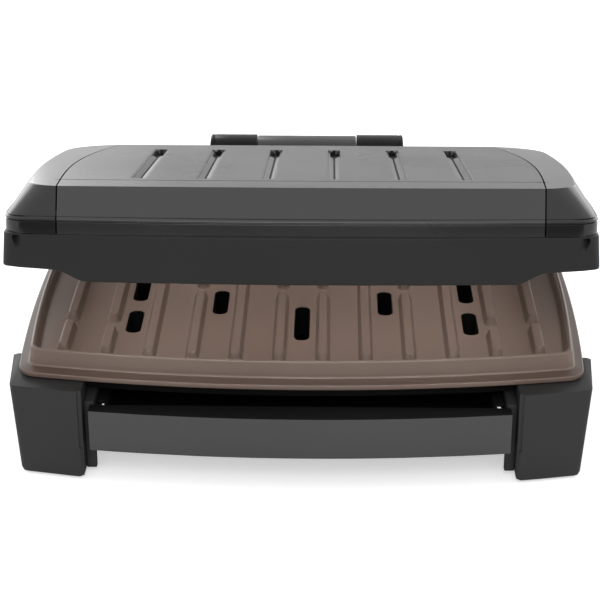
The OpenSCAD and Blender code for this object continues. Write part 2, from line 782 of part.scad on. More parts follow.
// Box behind the tub, open at the back; its front wall stands against the tub's back wall
module rear_box()
  difference() {
    prism(rounded_rect(box_w/2, box_front, back_y, 2, 8), box_bottom, box_top);
    on_plate() prism(tub_outline(-join_gap), wall_low - 20, tub_top + join_gap);
    translate([base_t - box_w/2, box_wall + base_t, box_bottom + base_t])
      cube([box_w - 2*base_t, back_y - box_wall, box_top - box_bottom - 2*base_t]);
    translate([-wire_slot/2, box_front - 1, box_top - 16])
      cube([wire_slot, box_wall - box_front + base_t + 2, 6]);
  }

module rear_cover_corners() {
  inset = base_t + 4;
  for (x = [inset - box_w/2, box_w/2 - inset], z = [box_bottom + inset, box_top - inset])
    translate([x, 0, z]) rotate([-90, 0, 0]) children();
}

// Side and back walls end level, above the counter, and start behind the front legs
module base_housing()
  color([0.2, 0.2, 0.2]) difference() {
    on_plate() tub();
    translate([-plate_w, plate_y - 60, wall_low]) cube([2*plate_w, 400, skirt_clear - wall_low]);
    difference() {
      translate([-plate_w, plate_y - 60, 0]) cube([2*plate_w, 60 + leg_back + join_gap, plate_height]);
      on_plate() translate([-plate_w, -80, deck_top - deck_t]) cube([2*plate_w, 200, plate_height]);
    }
  }

module rear_housing()
  color([0.2, 0.2, 0.2]) {
    both_sides() tower();
    rear_box();
    rear_cover_corners() translate([0, 0, back_y - base_t - cover_boss_l]) difference() {
      cylinder(r = cover_boss_r, h = cover_boss_l - side_gap, $fn = 32);
      translate([0, 0, 4]) cylinder(r = cover_screw_r + 0.1, h = cover_boss_l, $fn = 24);
    }
  }

module rear_cover()
  color([0.17, 0.17, 0.17]) difference() {
    translate([base_t + side_gap - box_w/2, back_y - base_t, box_bottom + base_t + side_gap])
      cube([box_w - 2*(base_t + side_gap), base_t, box_top - box_bottom - 2*(base_t + side_gap)]);
    rear_cover_corners() translate([0, 0, back_y - base_t - 1])
      cylinder(r = cover_screw_r + cover_hole, h = base_t + 2, $fn = 24);
    translate([gland_x, back_y - base_t - 1, box_mid]) rotate([-90, 0, 0])
      cylinder(r = gland_r, h = base_t + 2, $fn = 40);
  }

module rear_cover_screws()
  color([0.6, 0.6, 0.6]) rear_cover_corners() {
    translate([0, 0, back_y - 12]) cylinder(r = cover_screw_r, h = 12, $fn = 24);
    translate([0, 0, back_y]) cylinder(r = 3.2, h = 1.6, $fn = 24);
  }

// Rubber ring through which the supply lead would enter
module cord_gland()
  color([0.1, 0.1, 0.1]) translate([gland_x, back_y, box_mid]) rotate([-90, 0, 0])
    rotate_extrude($fn = 48)
      polygon([[cable_r, -base_t - 2.5], [gland_r + 2, -base_t - 2.5], [gland_r + 2, -base_t - 0.1],
        [gland_r - 0.1, -base_t - 0.1], [gland_r - 0.1, 0.1], [gland_r + 2, 0.1],
        [gland_r + 1, gland_lip], [cable_r, gland_lip]]);

module terminal_block()
  color([0.9, 0.9, 0.86]) translate([0, box_wall + base_t + side_gap/2, box_bottom + base_t + 0.1])
    difference() {
      translate([-18, 0, 0]) cube([36, 14, 14]);
      for (x = [-12, 0, 12]) {
        translate([x, -1, 8]) rotate([-90, 0, 0]) cylinder(r = 2, h = 16, $fn = 20);
        translate([x, 7, 8]) cylinder(r = 2, h = 7, $fn = 20);
      }
    }

module tower_cap()
  color([0.17, 0.17, 0.17]) side_profile(tower_out - tower_cap_t + 0.05, tower_out)
    difference() {
      tower_outline();
      translate([axis_y - 40, box_top - 3]) square([80, 3.1]);
    }

module tower_cap_right() tower_cap();
module tower_cap_left() mirror([1, 0, 0]) tower_cap();

// ---------------------------------------------------------------- drip tray

// Outline of the tray's front: bowed forward like the legs beside it
function fascia_outline(inset) =
  let(w = tray_half - inset)
  concat(
    [for (i = [0:16]) let(x = -w + 2*w*i/16) [x, -depth_front + inset + arc_back(x, front_arc_r)]],
    [[w, fascia_back - inset], [-w, fascia_back - inset]]);

module drip_tray()
  color([0.31, 0.31, 0.31]) translate([0, plate_y, 0]) difference() {
    union() {
      // Hollow front with a finger pull below
      difference() {
        prism(fascia_outline(0), tray_clear, tray_top);
        prism(fascia_outline(fascia_t), tray_clear - 1, tray_top - fascia_t);
      }
      // Bowl and the lips that run on the rails' ledges
      prism(rounded_rect(bowl_w/2, fascia_back - 1, fascia_back + bowl_d, 6, 6), bowl_floor, rim_z);
      translate([-rail_in + 0.6, fascia_back + 12, rim_z - lip_t])
        cube([2*(rail_in - 0.6), bowl_d - 18, lip_t]);
    }
    prism(rounded_rect(bowl_w/2 - tray_t, fascia_back + tray_t, fascia_back + bowl_d - tray_t, 5, 5),
      bowl_floor + tray_t, rim_z + 1);
  }

// ---------------------------------------------------------------- hinge

module hinge_pin()
  color([0.7, 0.7, 0.7]) translate([0, axis_y, axis_z]) rotate([0, 90, 0]) {
    reach = tower_in + side_gap + block_l;
    translate([0, 0, -reach]) cylinder(r = pin_r, h = 2*reach, $fn = 48);
  }

module slide_block()
  color([0.85, 0.84, 0.78]) side_profile(tower_in + side_gap, tower_in + side_gap + block_l)
    difference() {
      translate([axis_y - block_w/2, axis_z - block_w/2]) square([block_w, block_w]);
      translate([axis_y, axis_z]) circle(pin_r + running_gap, $fn = 48);
    }

module slide_block_right() slide_block();
module slide_block_left() mirror([1, 0, 0]) slide_block();

// Barrel on the pin, with the web that is screwed to the lid's back wall
module lid_hinge_block()
  color([0.15, 0.15, 0.15]) on_lid() side_profile(-barrel_w/2, barrel_w/2)
    difference() {
      union() {
        translate([axis_u, hinge_v]) circle(barrel_r, $fn = 96);
        polygon([[lid_back + 0.1, 12.5], [axis_u - 12, 5], [axis_u - 12, hinge_v + 20],
          [lid_back + 0.1, belt_h + 1]]);
      }
      translate([axis_u, hinge_v]) circle(pin_r + running_gap, $fn = 48);
    }

module hinge_screw_places()
  for (x = [-hinge_screw_x, hinge_screw_x]) translate([x, 0, hinge_screw_v]) rotate([-90, 0, 0]) children();

module lid_hinge_screws()
  color([0.6, 0.6, 0.6]) on_lid() hinge_screw_places() {
    translate([0, 0, lid_back - 5]) cylinder(r = 3.4, h = 2, $fn = 24);
    translate([0, 0, lid_back - 3]) cylinder(r = hinge_screw_r, h = 2.9, $fn = 24);
  }

// ---------------------------------------------------------------- lid

// Underside of the skirt across the front: higher towards the corners
function skirt_edge(x) =
  let(t = min(max((x - skirt_rise_in)/(skirt_rise_out - skirt_rise_in), 0), 1))
  skirt_low[0] + skirt_rise*t*t*(3 - 2*t);

module skirt_cuts() {
  steps = 8;
  curve = [for (i = [0:steps])
    let(x = skirt_rise_in + (skirt_rise_out - skirt_rise_in)*i/steps) [x, skirt_edge(x)]];
  both_sides() front_profile(-60, lid_back + 20)
    polygon(concat(curve,
      [[lid_half + 20, skirt_edge(skirt_rise_out)], [lid_half + 20, -20], [skirt_rise_in, -20]]));
  // The back is cut up so that it clears the lower plate's rim as the lid opens
  side_profile(-lid_half - 20, lid_half + 20)
    polygon([[lid_back - 50, -20], [lid_back - 50, 3.4], [lid_back - 15, 12], [lid_back + 20, 12],
      [lid_back + 20, -20]]);
}

module lid_frame()
  color([0.18, 0.18, 0.18]) on_lid() difference() {
    loft([lid_ring(skirt_low), lid_ring(skirt_high)]);
    loft([lid_ring(skirt_low, lid_t + 0.4, 1), lid_ring(skirt_high, lid_t + 0.4, ledge_h_lid)]);
    prism(lid_outline(skirt_high, ledge_inset), 0, skirt_top + 1);
    skirt_cuts();
    hinge_screw_places() cylinder(r = hinge_screw_r + screw_hole, h = lid_back + 10, $fn = 24);
  }

// Shell of the lid above the skirt, before it is parted into cover and caps
module lid_shell()
  difference() {
    loft([lid_ring(recess_low), lid_ring(recess_high), lid_ring(belt_low), lid_ring(belt_high),
      lid_ring(top_low, 0, 0, lid_tilt), lid_ring(top_high, 0, 0, lid_tilt)]);
    loft([lid_ring(recess_low, lid_t, 1), lid_ring(belt_high, lid_t + 2.2),
      lid_ring(top_low, lid_t, 1.8, lid_tilt), lid_ring(top_high, lid_t, lid_t, lid_tilt)]);
  }

// Region of the cover between its two seams, drawn in or out by shift
module cover_region(shift) {
  steps = 12;
  y0 = -40;
  y1 = lid_back + 20;
  edge = [for (i = [0:steps]) let(y = y0 + (y1 - y0)*i/steps) [seam_at(max(y, -20)) + shift, y]];
  mirrored = [for (i = [steps:-1:0]) [-edge[i].x, edge[i].y]];
  linear_extrude(lid_top + 20) polygon(concat(edge, mirrored));
}

// A groove: a shallow V that deepens into a round pocket at its back end
module groove() {
  r = groove_w/2;
  top = lid_top + 1;
  surface = lid_top - groove_front*lid_tilt;
  pocket_floor = surface - groove_l*lid_tilt - pocket_depth;
  translate([0, groove_front, 0]) {
    rotate([-atan(lid_tilt), 0, 0]) rotate([90, 0, 180]) linear_extrude(groove_l - r)
      polygon([[-r, top], [-r, surface - groove_edge], [0, surface - groove_depth],
        [r, surface - groove_edge], [r, top]]);
    translate([0, groove_l - r, pocket_floor]) cylinder(r = r, h = pocket_depth + 4, $fn = 32);
    translate([-r, groove_l - pocket_l, pocket_floor]) cube([groove_w, pocket_l - r, pocket_depth + 4]);
  }
}

module groove_places()
  for (i = [0:groove_count - 1]) translate([(i - (groove_count - 1)/2)*groove_pitch, 0, 0]) children();

module lid_cover()
  color([0.3, 0.3, 0.3]) on_lid() difference() {
    union() {
      intersection() {
        lid_shell();
        cover_region(-seam_gap/2);
      }
      // Thicker strips inside carry the grooves
      groove_places() rotate([-atan(lid_tilt), 0, 0]) translate([-groove_w/2 - 2, 15, lid_top - 6])
        cube([groove_w + 4, groove_l + 6, 4.5]);
    }
    groove_places() groove();
  }

module end_cap()
  color([0.12, 0.12, 0.12]) on_lid() difference() {
    intersection() {
      lid_shell();
      translate([0, -100, 0]) cube([400, 500, 200]);
    }
    cover_region(seam_gap/2);
  }

module lid_end_cap_right() end_cap();
module lid_end_cap_left() mirror([1, 0, 0]) end_cap();

// ---------------------------------------------------------------- drawing

base_housing();
front_leg_left();
front_leg_right();
rear_leg_left();
rear_leg_right();
side_rail_left();
side_rail_right();
rear_housing();
rear_cover();
rear_cover_screws();
cord_gland();
terminal_block();
tower_cap_left();
tower_cap_right();
foot_front_left();
foot_front_right();
foot_rear_left();
foot_rear_right();
lower_plate();
lower_plate_screws();
lower_heater();
lower_reflector();
thermostat();
thermal_fuse();
drip_tray();
hinge_pin();
slide_block_left();
slide_block_right();
lid_hinge_block();
lid_hinge_screws();
lid_frame();
lid_cover();
lid_end_cap_left();
lid_end_cap_right();
upper_plate();
upper_plate_screws();
upper_heater();
upper_reflector();
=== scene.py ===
# %% [markdown]
# # A contact grill in looks
#
# A contact grill cooks from both sides: food lies on a ribbed lower plate, and a second ribbed plate in
# the hinged lid closes on it. The engineering model already fixes every size, joint and mounting. This
# lesson dresses it: it loads that model as a fixed frame, replaces the pieces whose surfaces need
# rounder, finer meshes, and gives every piece a finish.
#
# The first step is to load the frame.

# %% Load the frame
import json
import math
from collections import namedtuple

import bmesh
import bpy
from mathutils import Matrix, Vector

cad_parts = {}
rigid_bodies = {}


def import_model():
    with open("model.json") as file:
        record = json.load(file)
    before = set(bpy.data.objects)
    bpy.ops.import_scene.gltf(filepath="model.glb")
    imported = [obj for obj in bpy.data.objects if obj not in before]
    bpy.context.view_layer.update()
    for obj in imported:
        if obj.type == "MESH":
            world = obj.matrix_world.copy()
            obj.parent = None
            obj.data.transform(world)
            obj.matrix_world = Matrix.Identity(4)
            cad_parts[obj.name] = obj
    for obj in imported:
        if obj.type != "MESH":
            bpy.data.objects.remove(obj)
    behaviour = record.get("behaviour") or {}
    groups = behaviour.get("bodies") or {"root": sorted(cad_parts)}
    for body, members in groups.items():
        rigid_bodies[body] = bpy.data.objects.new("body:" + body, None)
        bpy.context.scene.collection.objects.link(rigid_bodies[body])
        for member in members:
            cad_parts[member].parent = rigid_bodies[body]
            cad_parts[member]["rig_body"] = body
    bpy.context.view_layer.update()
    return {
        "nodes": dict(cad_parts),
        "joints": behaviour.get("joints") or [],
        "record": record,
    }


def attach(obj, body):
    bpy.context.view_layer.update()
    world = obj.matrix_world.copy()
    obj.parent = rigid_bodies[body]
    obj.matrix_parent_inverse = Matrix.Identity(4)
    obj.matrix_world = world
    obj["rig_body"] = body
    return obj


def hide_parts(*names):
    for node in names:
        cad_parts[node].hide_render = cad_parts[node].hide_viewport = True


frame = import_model()
NODES = frame["nodes"]

# %% [markdown]
# The cooking floor slopes by a few degrees, and the lid stands open about its pin. Both are drawn lying
# flat, in millimetres along the cooking floor, because there the numbers stay round. One matrix then
# carries the lower pieces to their place, and a second one the lid's pieces. Both are found from the
# hinge pin, whose place the frame knows.

# %% Where the plates lie
MM = 0.001
FLOOR_TILT = math.radians(4)
LID_OPEN = math.radians(14)
PIN_ALONG = 232.3  # hinge pin, along the cooking floor from its front
PIN_UP = 24.0  # hinge pin above the cooking floor

hinge = next(joint for joint in frame["joints"] if joint["name"] == "lid_hinge")
pin = Vector(hinge["pos_m"])


def flat_to_world(turn):
    """Matrix from millimetres on the flat drawing to the frame, turned about the hinge pin."""
    to_pin = Matrix.Translation((0, -PIN_ALONG, -PIN_UP))
    return Matrix.Translation(pin) @ Matrix.Rotation(turn, 4, "X") @ Matrix.Scale(MM, 4) @ to_pin


PLATE_PLACE = flat_to_world(FLOOR_TILT)
LID_PLACE = flat_to_world(FLOOR_TILT - LID_OPEN)
floor_front = PLATE_PLACE @ Vector((0, 0, 0))
print("front of the cooking floor (mm):", [round(value / MM, 2) for value in floor_front])

# %% [markdown]
# ## Camera and stage
#
# The grill is seen from the front, 22.5 degrees above the counter, from a little under a metre with a
# long lens. The camera comes first, because every later judgement is made through it.

# %% Camera
CAMERA_PITCH = math.radians(22.5)
CAMERA_YAW = math.radians(1.1)
CAMERA_LENS = 99
CAMERA_HEIGHT = 458.2 * MM
AIM_DEPTH = -128 * MM  # close to the front edge of the lower plate
CAMERA_REACH = 839.9 * MM  # level distance from the camera to that depth

camera_data = bpy.data.cameras.new("camera")
camera_data.lens = CAMERA_LENS
camera_data.sensor_width = 36
camera = bpy.data.objects.new("camera", camera_data)
bpy.context.scene.collection.objects.link(camera)
camera.location = (
    CAMERA_REACH * math.sin(CAMERA_YAW),
    AIM_DEPTH - CAMERA_REACH * math.cos(CAMERA_YAW),
    CAMERA_HEIGHT,
)
look = Vector(
    (
        -math.sin(CAMERA_YAW) * math.cos(CAMERA_PITCH),
        math.cos(CAMERA_YAW) * math.cos(CAMERA_PITCH),
        -math.sin(CAMERA_PITCH),
    )
)
camera.rotation_mode = "QUATERNION"
camera.rotation_quaternion = look.to_track_quat("-Z", "Y")
bpy.context.scene.camera = camera

# %% [markdown]
# The stage is a pale floor under a plain bright sky. Glossy plastic is mostly a picture of what stands
# round it: the lid's top mirrors the white backdrop, and its walls mirror the room behind the camera. So
# a dark screen stands there, as in a studio, which keeps the upright walls deep black, and a grey one
# behind the grill, which takes some glare off the middle of the lid. Only reflections see them.

# %% Small helpers for node trees


def clear_nodes(tree):
    """Empty a node tree and return its nodes and links."""
    tree.nodes.clear()
    return tree.nodes, tree.links


def add_node(nodes, kind, values=(), **settings):
    """Add a node, set its properties and fill its input sockets by name."""
    node = nodes.new(kind)
    for name, value in settings.items():
        setattr(node, name, value)
    for name, value in dict(values).items():
        node.inputs[name].default_value = value
    return node


# %% World and floor
SKY_LIGHT = 0.85
SKY_SEEN = 1.0
FLOOR_GREY = 0.86
FLOOR_GLOW = 0.5  # light of its own that the floor has in the camera's view
FLOOR_REACH = 6
SCREENS = {
    # name: place, size, grey
    "studio_screen_front": ((0, -2.4, 0.75), (9.0, 1.5), 0.03),
    "studio_screen_back": ((0.15, 1.9, 0.4), (0.9, 0.8), 0.65),
}


def build_world():
    """A plain sky: white where the camera sees it, and softer as light on the object."""
    world = bpy.data.worlds.new("studio")
    world.use_nodes = True
    nodes, links = clear_nodes(world.node_tree)
    path = add_node(nodes, "ShaderNodeLightPath")
    seen = add_node(nodes, "ShaderNodeBackground", {"Color": (1, 1, 1, 1), "Strength": SKY_SEEN})
    light = add_node(nodes, "ShaderNodeBackground", {"Color": (1, 1, 1, 1), "Strength": SKY_LIGHT})
    mix = add_node(nodes, "ShaderNodeMixShader")
    out = add_node(nodes, "ShaderNodeOutputWorld")
    direct = add_node(nodes, "ShaderNodeMath", operation="MAXIMUM")
    shown = add_node(nodes, "ShaderNodeMath", operation="MAXIMUM")
    links.new(path.outputs["Is Camera Ray"], direct.inputs[0])
    links.new(path.outputs["Is Glossy Ray"], direct.inputs[1])
    links.new(direct.outputs[0], shown.inputs[0])
    links.new(path.outputs["Is Transmission Ray"], shown.inputs[1])
    links.new(shown.outputs[0], mix.inputs["Fac"])
    links.new(light.outputs[0], mix.inputs[1])
    links.new(seen.outputs[0], mix.inputs[2])
    links.new(mix.outputs[0], out.inputs["Surface"])
    bpy.context.scene.world = world


def build_floor():
    """A pale floor that fades into the white sky and keeps the object's shadow."""
    material = bpy.data.materials.new("studio_floor")
    material.use_nodes = True
    nodes, links = clear_nodes(material.node_tree)
    diffuse = add_node(nodes, "ShaderNodeBsdfDiffuse", {"Color": (FLOOR_GREY, FLOOR_GREY, FLOOR_GREY, 1)})
    glow = add_node(nodes, "ShaderNodeEmission", {"Color": (1, 1, 1, 1), "Strength": FLOOR_GLOW})
    path = add_node(nodes, "ShaderNodeLightPath")
    shown = add_node(nodes, "ShaderNodeMixShader")
    total = add_node(nodes, "ShaderNodeAddShader")
    out = add_node(nodes, "ShaderNodeOutputMaterial")
    links.new(diffuse.outputs[0], total.inputs[0])
    links.new(glow.outputs[0], total.inputs[1])
    links.new(path.outputs["Is Camera Ray"], shown.inputs["Fac"])
    links.new(diffuse.outputs[0], shown.inputs[1])
    links.new(total.outputs[0], shown.inputs[2])
    links.new(shown.outputs[0], out.inputs["Surface"])
    bm = bmesh.new()
    bmesh.ops.create_grid(bm, x_segments=2, y_segments=2, size=FLOOR_REACH)
    mesh = bpy.data.meshes.new("studio_floor")
    bm.to_mesh(mesh)
    bm.free()
    floor = bpy.data.objects.new("studio_floor", mesh)
    floor.data.materials.append(material)
    bpy.context.scene.collection.objects.link(floor)


def build_screen(name, place, size, shade):
    """An upright screen that only shows in reflections."""
    material = bpy.data.materials.new(name)
    material.use_nodes = True
    nodes, links = clear_nodes(material.node_tree)
    diffuse = add_node(nodes, "ShaderNodeBsdfDiffuse", {"Color": (shade, shade, shade, 1)})
    out = add_node(nodes, "ShaderNodeOutputMaterial")
    links.new(diffuse.outputs[0], out.inputs["Surface"])
    bm = bmesh.new()
    bmesh.ops.create_grid(bm, x_segments=1, y_segments=1, size=0.5)
    upright = Matrix.Rotation(math.radians(90), 4, "X")
    bm.transform(Matrix.Translation(place) @ upright @ Matrix.Diagonal((*size, 1, 1)))
    mesh = bpy.data.meshes.new(name)
    bm.to_mesh(mesh)
    bm.free()
    screen = bpy.data.objects.new(name, mesh)
    screen.data.materials.append(material)
    screen.visible_camera = False
    screen.visible_diffuse = False
    screen.visible_shadow = False
    bpy.context.scene.collection.objects.link(screen)


build_world()
build_floor()
for screen_name, screen_shape in SCREENS.items():
    build_screen(screen_name, *screen_shape)
bpy.context.scene.view_settings.view_transform = "Standard"

# %% [markdown]
# One lamp hangs above the front, for the upright faces. Two more stand behind on either side, and the ends
# of the lid's top mirror them. They are large and weak, because small strong lamps drown the lid in glare
# when it is seen from other sides.

# %% Lamps
LAMPS = {
    # name: place, aim, width, power
    "above_front": ((0.02, -1.5, 1.1), (0, 0, 0.1), 0.8, 9.5),
    "left_behind": ((-1.15, 1.9, 0.75), (0, 0, 0.15), 1.5, 14),
    "right_behind": ((1.35, 1.9, 0.75), (0, 0, 0.15), 1.4, 8),
}

for lamp_name, (place, aim, width, power) in LAMPS.items():
    lamp_data = bpy.data.lights.new(lamp_name, "AREA")
    lamp_data.shape = "SQUARE"
    lamp_data.size = width
    lamp_data.energy = power
    lamp = bpy.data.objects.new(lamp_name, lamp_data)
    lamp.location = place
    lamp.rotation_mode = "QUATERNION"
    lamp.rotation_quaternion = (Vector(aim) - Vector(place)).to_track_quat("-Z", "Y")
    bpy.context.scene.collection.objects.link(lamp)

# %% [markdown]
# ## Finishes
#
# Three things make moulded plastic look moulded: a very fine grain from the spark-eroded tool, a slow
# drift of gloss where the melt cooled unevenly, and a faint drift of colour. A painted texture could show
# them, but it would need a flat map of every piece. Noise that is read at a point of the object needs
# none. One node group makes the grain and the drift for every finish, and a finish sets only its own
# colours, gloss and grain.

# %% Shared effects
DRIFT_SPAN = (0.3, 0.7)  # the noise seldom leaves these values
GRAIN_DEPTH = 0.1 * MM


def new_group(name, inputs, outputs):
    """Make an empty shader group with float inputs {name: default} and outputs {name: socket type}."""
    group = bpy.data.node_groups.new(name, "ShaderNodeTree")
    for label, default in inputs.items():
        socket = group.interface.new_socket(label, in_out="INPUT", socket_type="NodeSocketFloat")
        socket.default_value = default
    for label, kind in outputs.items():
        group.interface.new_socket(label, in_out="OUTPUT", socket_type=kind)
    return group


def build_grain_group():
    """Moulding grain: a height for bump, and a drifting mask for gloss and colour."""
    group = new_group(
        "moulding_grain",
        {"Grain Scale": 1800.0, "Drift Scale": 9.0},
        {"Height": "NodeSocketFloat", "Drift": "NodeSocketFloat"},
    )
    nodes, links = group.nodes, group.links
    given = add_node(nodes, "NodeGroupInput")
    made = add_node(nodes, "NodeGroupOutput")
    place = add_node(nodes, "ShaderNodeTexCoord")
    grain = add_node(nodes, "ShaderNodeTexNoise", {"Detail": 2.0, "Roughness": 0.6})
    drift = add_node(nodes, "ShaderNodeTexNoise", {"Detail": 3.0, "Roughness": 0.5})
    links.new(place.outputs["Object"], grain.inputs["Vector"])
    links.new(place.outputs["Object"], drift.inputs["Vector"])
    links.new(given.outputs["Grain Scale"], grain.inputs["Scale"])
    links.new(given.outputs["Drift Scale"], drift.inputs["Scale"])
    links.new(grain.outputs["Fac"], made.inputs["Height"])
    links.new(drift.outputs["Fac"], made.inputs["Drift"])
    return group


GRAIN = build_grain_group()


def add_drift(nodes, links, source, low, high):
    """Map a drifting mask to a value between low and high."""
    least, most = DRIFT_SPAN
    limits = {"From Min": least, "From Max": most, "To Min": low, "To Max": high}
    span = add_node(nodes, "ShaderNodeMapRange", limits)
    links.new(source, span.inputs["Value"])
    return span.outputs["Result"]


def build_finish(name, colours, gloss, bump, grain_scale, specular=0.5, metallic=0.0):
    """A finish with a fine bump, whose colour and roughness each drift between two values."""
    dark, light = colours
    material = bpy.data.materials.new(name)
    material.use_nodes = True
    nodes, links = clear_nodes(material.node_tree)
    grain = add_node(nodes, "ShaderNodeGroup", node_tree=GRAIN)
    grain.inputs["Grain Scale"].default_value = grain_scale
    fixed = {"Specular IOR Level": specular, "Metallic": metallic}
    shader = add_node(nodes, "ShaderNodeBsdfPrincipled", fixed)
    out = add_node(nodes, "ShaderNodeOutputMaterial")
    colour = add_node(nodes, "ShaderNodeMix", data_type="RGBA")
    colour.inputs["A"].default_value = (*dark, 1)
    colour.inputs["B"].default_value = (*light, 1)
    links.new(add_drift(nodes, links, grain.outputs["Drift"], 0, 1), colour.inputs["Factor"])
    links.new(colour.outputs["Result"], shader.inputs["Base Color"])
    links.new(add_drift(nodes, links, grain.outputs["Drift"], *gloss), shader.inputs["Roughness"])
    relief = add_node(nodes, "ShaderNodeBump", {"Strength": bump, "Distance": GRAIN_DEPTH})
    links.new(grain.outputs["Height"], relief.inputs["Height"])
    links.new(relief.outputs["Normal"], shader.inputs["Normal"])
    links.new(shader.outputs[0], out.inputs["Surface"])
    return material


def greys(dark, light):
    """Two neutral colours."""
    return (dark, dark, dark), (light, light, light)


# %% The finishes of this grill
PLATE_COATING = ((0.138, 0.096, 0.075), (0.156, 0.110, 0.088))
# The flange's upward faces take the next, darker brown: painted shade on the flange's top, in the same
# coating.
FLANGE_TOP_PAINTED_SHADE = ((0.070, 0.044, 0.034), (0.082, 0.053, 0.041))
OXIDE = ((0.09, 0.08, 0.075), (0.13, 0.115, 0.105))
IVORY = ((0.62, 0.6, 0.53), (0.68, 0.66, 0.59))
FIRED_CLAY = ((0.72, 0.7, 0.64), (0.8, 0.78, 0.72))
FINISHES = {
    "housing": build_finish("housing_plastic", greys(0.024, 0.028), (0.50, 0.58), 0.25, 2600, specular=0.3),
    "tray": build_finish("tray_plastic", greys(0.056, 0.062), (0.46, 0.54), 0.25, 2600, specular=0.3),
    "cover": build_finish("cover_satin", greys(0.0125, 0.015), (0.25, 0.30), 0.12, 3200, specular=0.75),
    "cap": build_finish("cap_gloss", greys(0.010, 0.012), (0.16, 0.21), 0.05, 3200),
    "skirt": build_finish("skirt_matt", greys(0.0145, 0.017), (0.50, 0.58), 0.3, 2400, specular=0.25),
    "hinge": build_finish("hinge_gloss", greys(0.007, 0.009), (0.22, 0.28), 0.08, 3000),
    "tower": build_finish("tower_black", greys(0.005, 0.007), (0.16, 0.22), 0.05, 3000, specular=0.08),
    "cooking_plate": build_finish("plate_coating", PLATE_COATING, (0.36, 0.44), 0.35, 1500),
    "flange_top_painted_shade": build_finish(
        "plate_coating_painted_shade", FLANGE_TOP_PAINTED_SHADE, (0.36, 0.44), 0.35, 1500, specular=0.4
    ),
    # The dull near-black finish below is painted shade: it darkens the spouts' insides, the grooves' middles
    # and pockets, the drip tray's bowl and the base housing.
    "inside": build_finish("painted_shade_black", greys(0.006, 0.008), (0.60, 0.70), 0.2, 2400, specular=0.15),
    "foot_rubber": build_finish("foot_rubber", greys(0.012, 0.018), (0.75, 0.85), 0.5, 1400, specular=0.3),
    "steel": build_finish("screw_steel", greys(0.42, 0.5), (0.28, 0.4), 0.2, 2500, metallic=1),
    "heater_sheath": build_finish("heater_sheath", OXIDE, (0.45, 0.6), 0.4, 900, metallic=0.8),
    "reflector_sheet": build_finish(
        "reflector_sheet", greys(0.55, 0.62), (0.3, 0.42), 0.15, 800, metallic=1
    ),
    "slide_plastic": build_finish("slide_plastic", IVORY, (0.4, 0.5), 0.2, 2000, specular=0.4),
    "ceramic": build_finish("ceramic", FIRED_CLAY, (0.5, 0.6), 0.4, 1200, specular=0.4),
}
print("finishes:", len(FINISHES))

# %% [markdown]
# ## Turning drawings into pieces
#
# Every modelled piece ends the same way: its faces are smoothed except across real edges, the mesh
# becomes an object at the origin, and the object rides on the body that carries it.

# %% From bmesh to a riding piece
SMOOTH_BELOW = math.radians(32)


def add_piece(bm, name, body, finish, stands_for, place=None, others=()):
    """Write a bmesh as a piece that rides on a body and stands for frame nodes."""
    if place is not None:
        bm.transform(place)
    mesh = bpy.data.meshes.new(name)
    bm.to_mesh(mesh)
    bm.free()
    mesh.shade_smooth()
    mesh.set_sharp_from_angle(angle=SMOOTH_BELOW)
    mesh.materials.append(FINISHES[finish])
    for other in others:
        mesh.materials.append(FINISHES[other])
    piece = bpy.data.objects.new(name, mesh)
    bpy.context.scene.collection.objects.link(piece)
    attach(piece, body)
    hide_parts(*stands_for)
    print(name, "has", len(mesh.polygons), "faces")
    return piece


# %% [markdown]
# The machined and moulded pieces of the frame are right in shape, but their edges are knife-sharp. A real
# moulding never has such an edge, and the thin highlight along a rounded one is what makes it read as
# solid. So a copy of the frame's mesh is cleaned of its triangles, and the sharp edges that remain are
# bevelled.

# %% Bevelled copies of frame pieces
CREASE = math.radians(38)  # an edge is sharp where the surface turns by more
FLAT = math.radians(1)
WELD = 0.01 * MM
EDGE_SEGMENTS = 2


def clean_copy(node):
    """A node's mesh with its triangles dissolved into whole faces."""
    bm = bmesh.new()
    bm.from_mesh(NODES[node].data)
    bmesh.ops.remove_doubles(bm, verts=bm.verts, dist=WELD)
    bmesh.ops.dissolve_limit(bm, angle_limit=FLAT, verts=bm.verts, edges=bm.edges)
    return bm


def sharp_edges(bm):
    """The edges across which a surface turns by more than the crease."""
    return [edge for edge in bm.edges if len(edge.link_faces) == 2 and edge.calc_face_angle() > CREASE]


def bevelled_copy(node, body, finish, width):
    """Add a copy of a node with its sharp edges rounded to a width in millimetres."""
    bm = clean_copy(node)
    bmesh.ops.bevel(
        bm,
        geom=sharp_edges(bm),
        offset=width * MM,
        offset_type="OFFSET",
        segments=EDGE_SEGMENTS,
        profile=0.5,
        affect="EDGES",
        clamp_overlap=True,
        material=-1,
    )
    return add_piece(bm, node + "_edged", body, finish, [node])


# %% [markdown]
# ## Outlines that bow
#
# The cooking plates, the skirt and the lid share one family of outlines: a rectangle with round corners
# whose sides and front swell outward. Each is described by a few lengths, and a surface is made by
# growing one outline out of another, as a lofting tool does. A point is followed from ring to ring by its
# place on the first, flat rectangle, which the mesh itself remembers in two layers of numbers on its
# vertices.

# %% Rings
# z: height. half: half its width. apex: depth of its front's middle. bow: how far the front's ends lie
# behind that. back: depth of its back. side: how far each side swells out. front_r, back_r: radii of its
# corners. back_bow: how far the back's middle swells out. fall: drop in height per millimetre of depth.
Ring = namedtuple("Ring", "z half apex bow back side front_r back_r back_bow fall", defaults=(0, 0))
CORNER_SHARE = 0.45  # a softened corner takes at most this much of the way to the next ring
ARC_STEPS = 4


def smoothstep(value):
    """Rise smoothly from 0 to 1 as the value does."""
    value = min(max(value, 0), 1)
    return value * value * (3 - 2 * value)


def inner_ring(ring, inset, z, front_extra=0, least_r=1):
    """The outline drawn in by an inset, at its own height."""
    half = ring.half - inset
    return ring._replace(
        z=z,
        half=half,
        apex=ring.apex + inset + front_extra,
        bow=ring.bow * (half / ring.half) ** 2,
        back=ring.back - inset,
        front_r=max(ring.front_r - inset, least_r),
        back_r=max(ring.back_r - inset, least_r),
    )


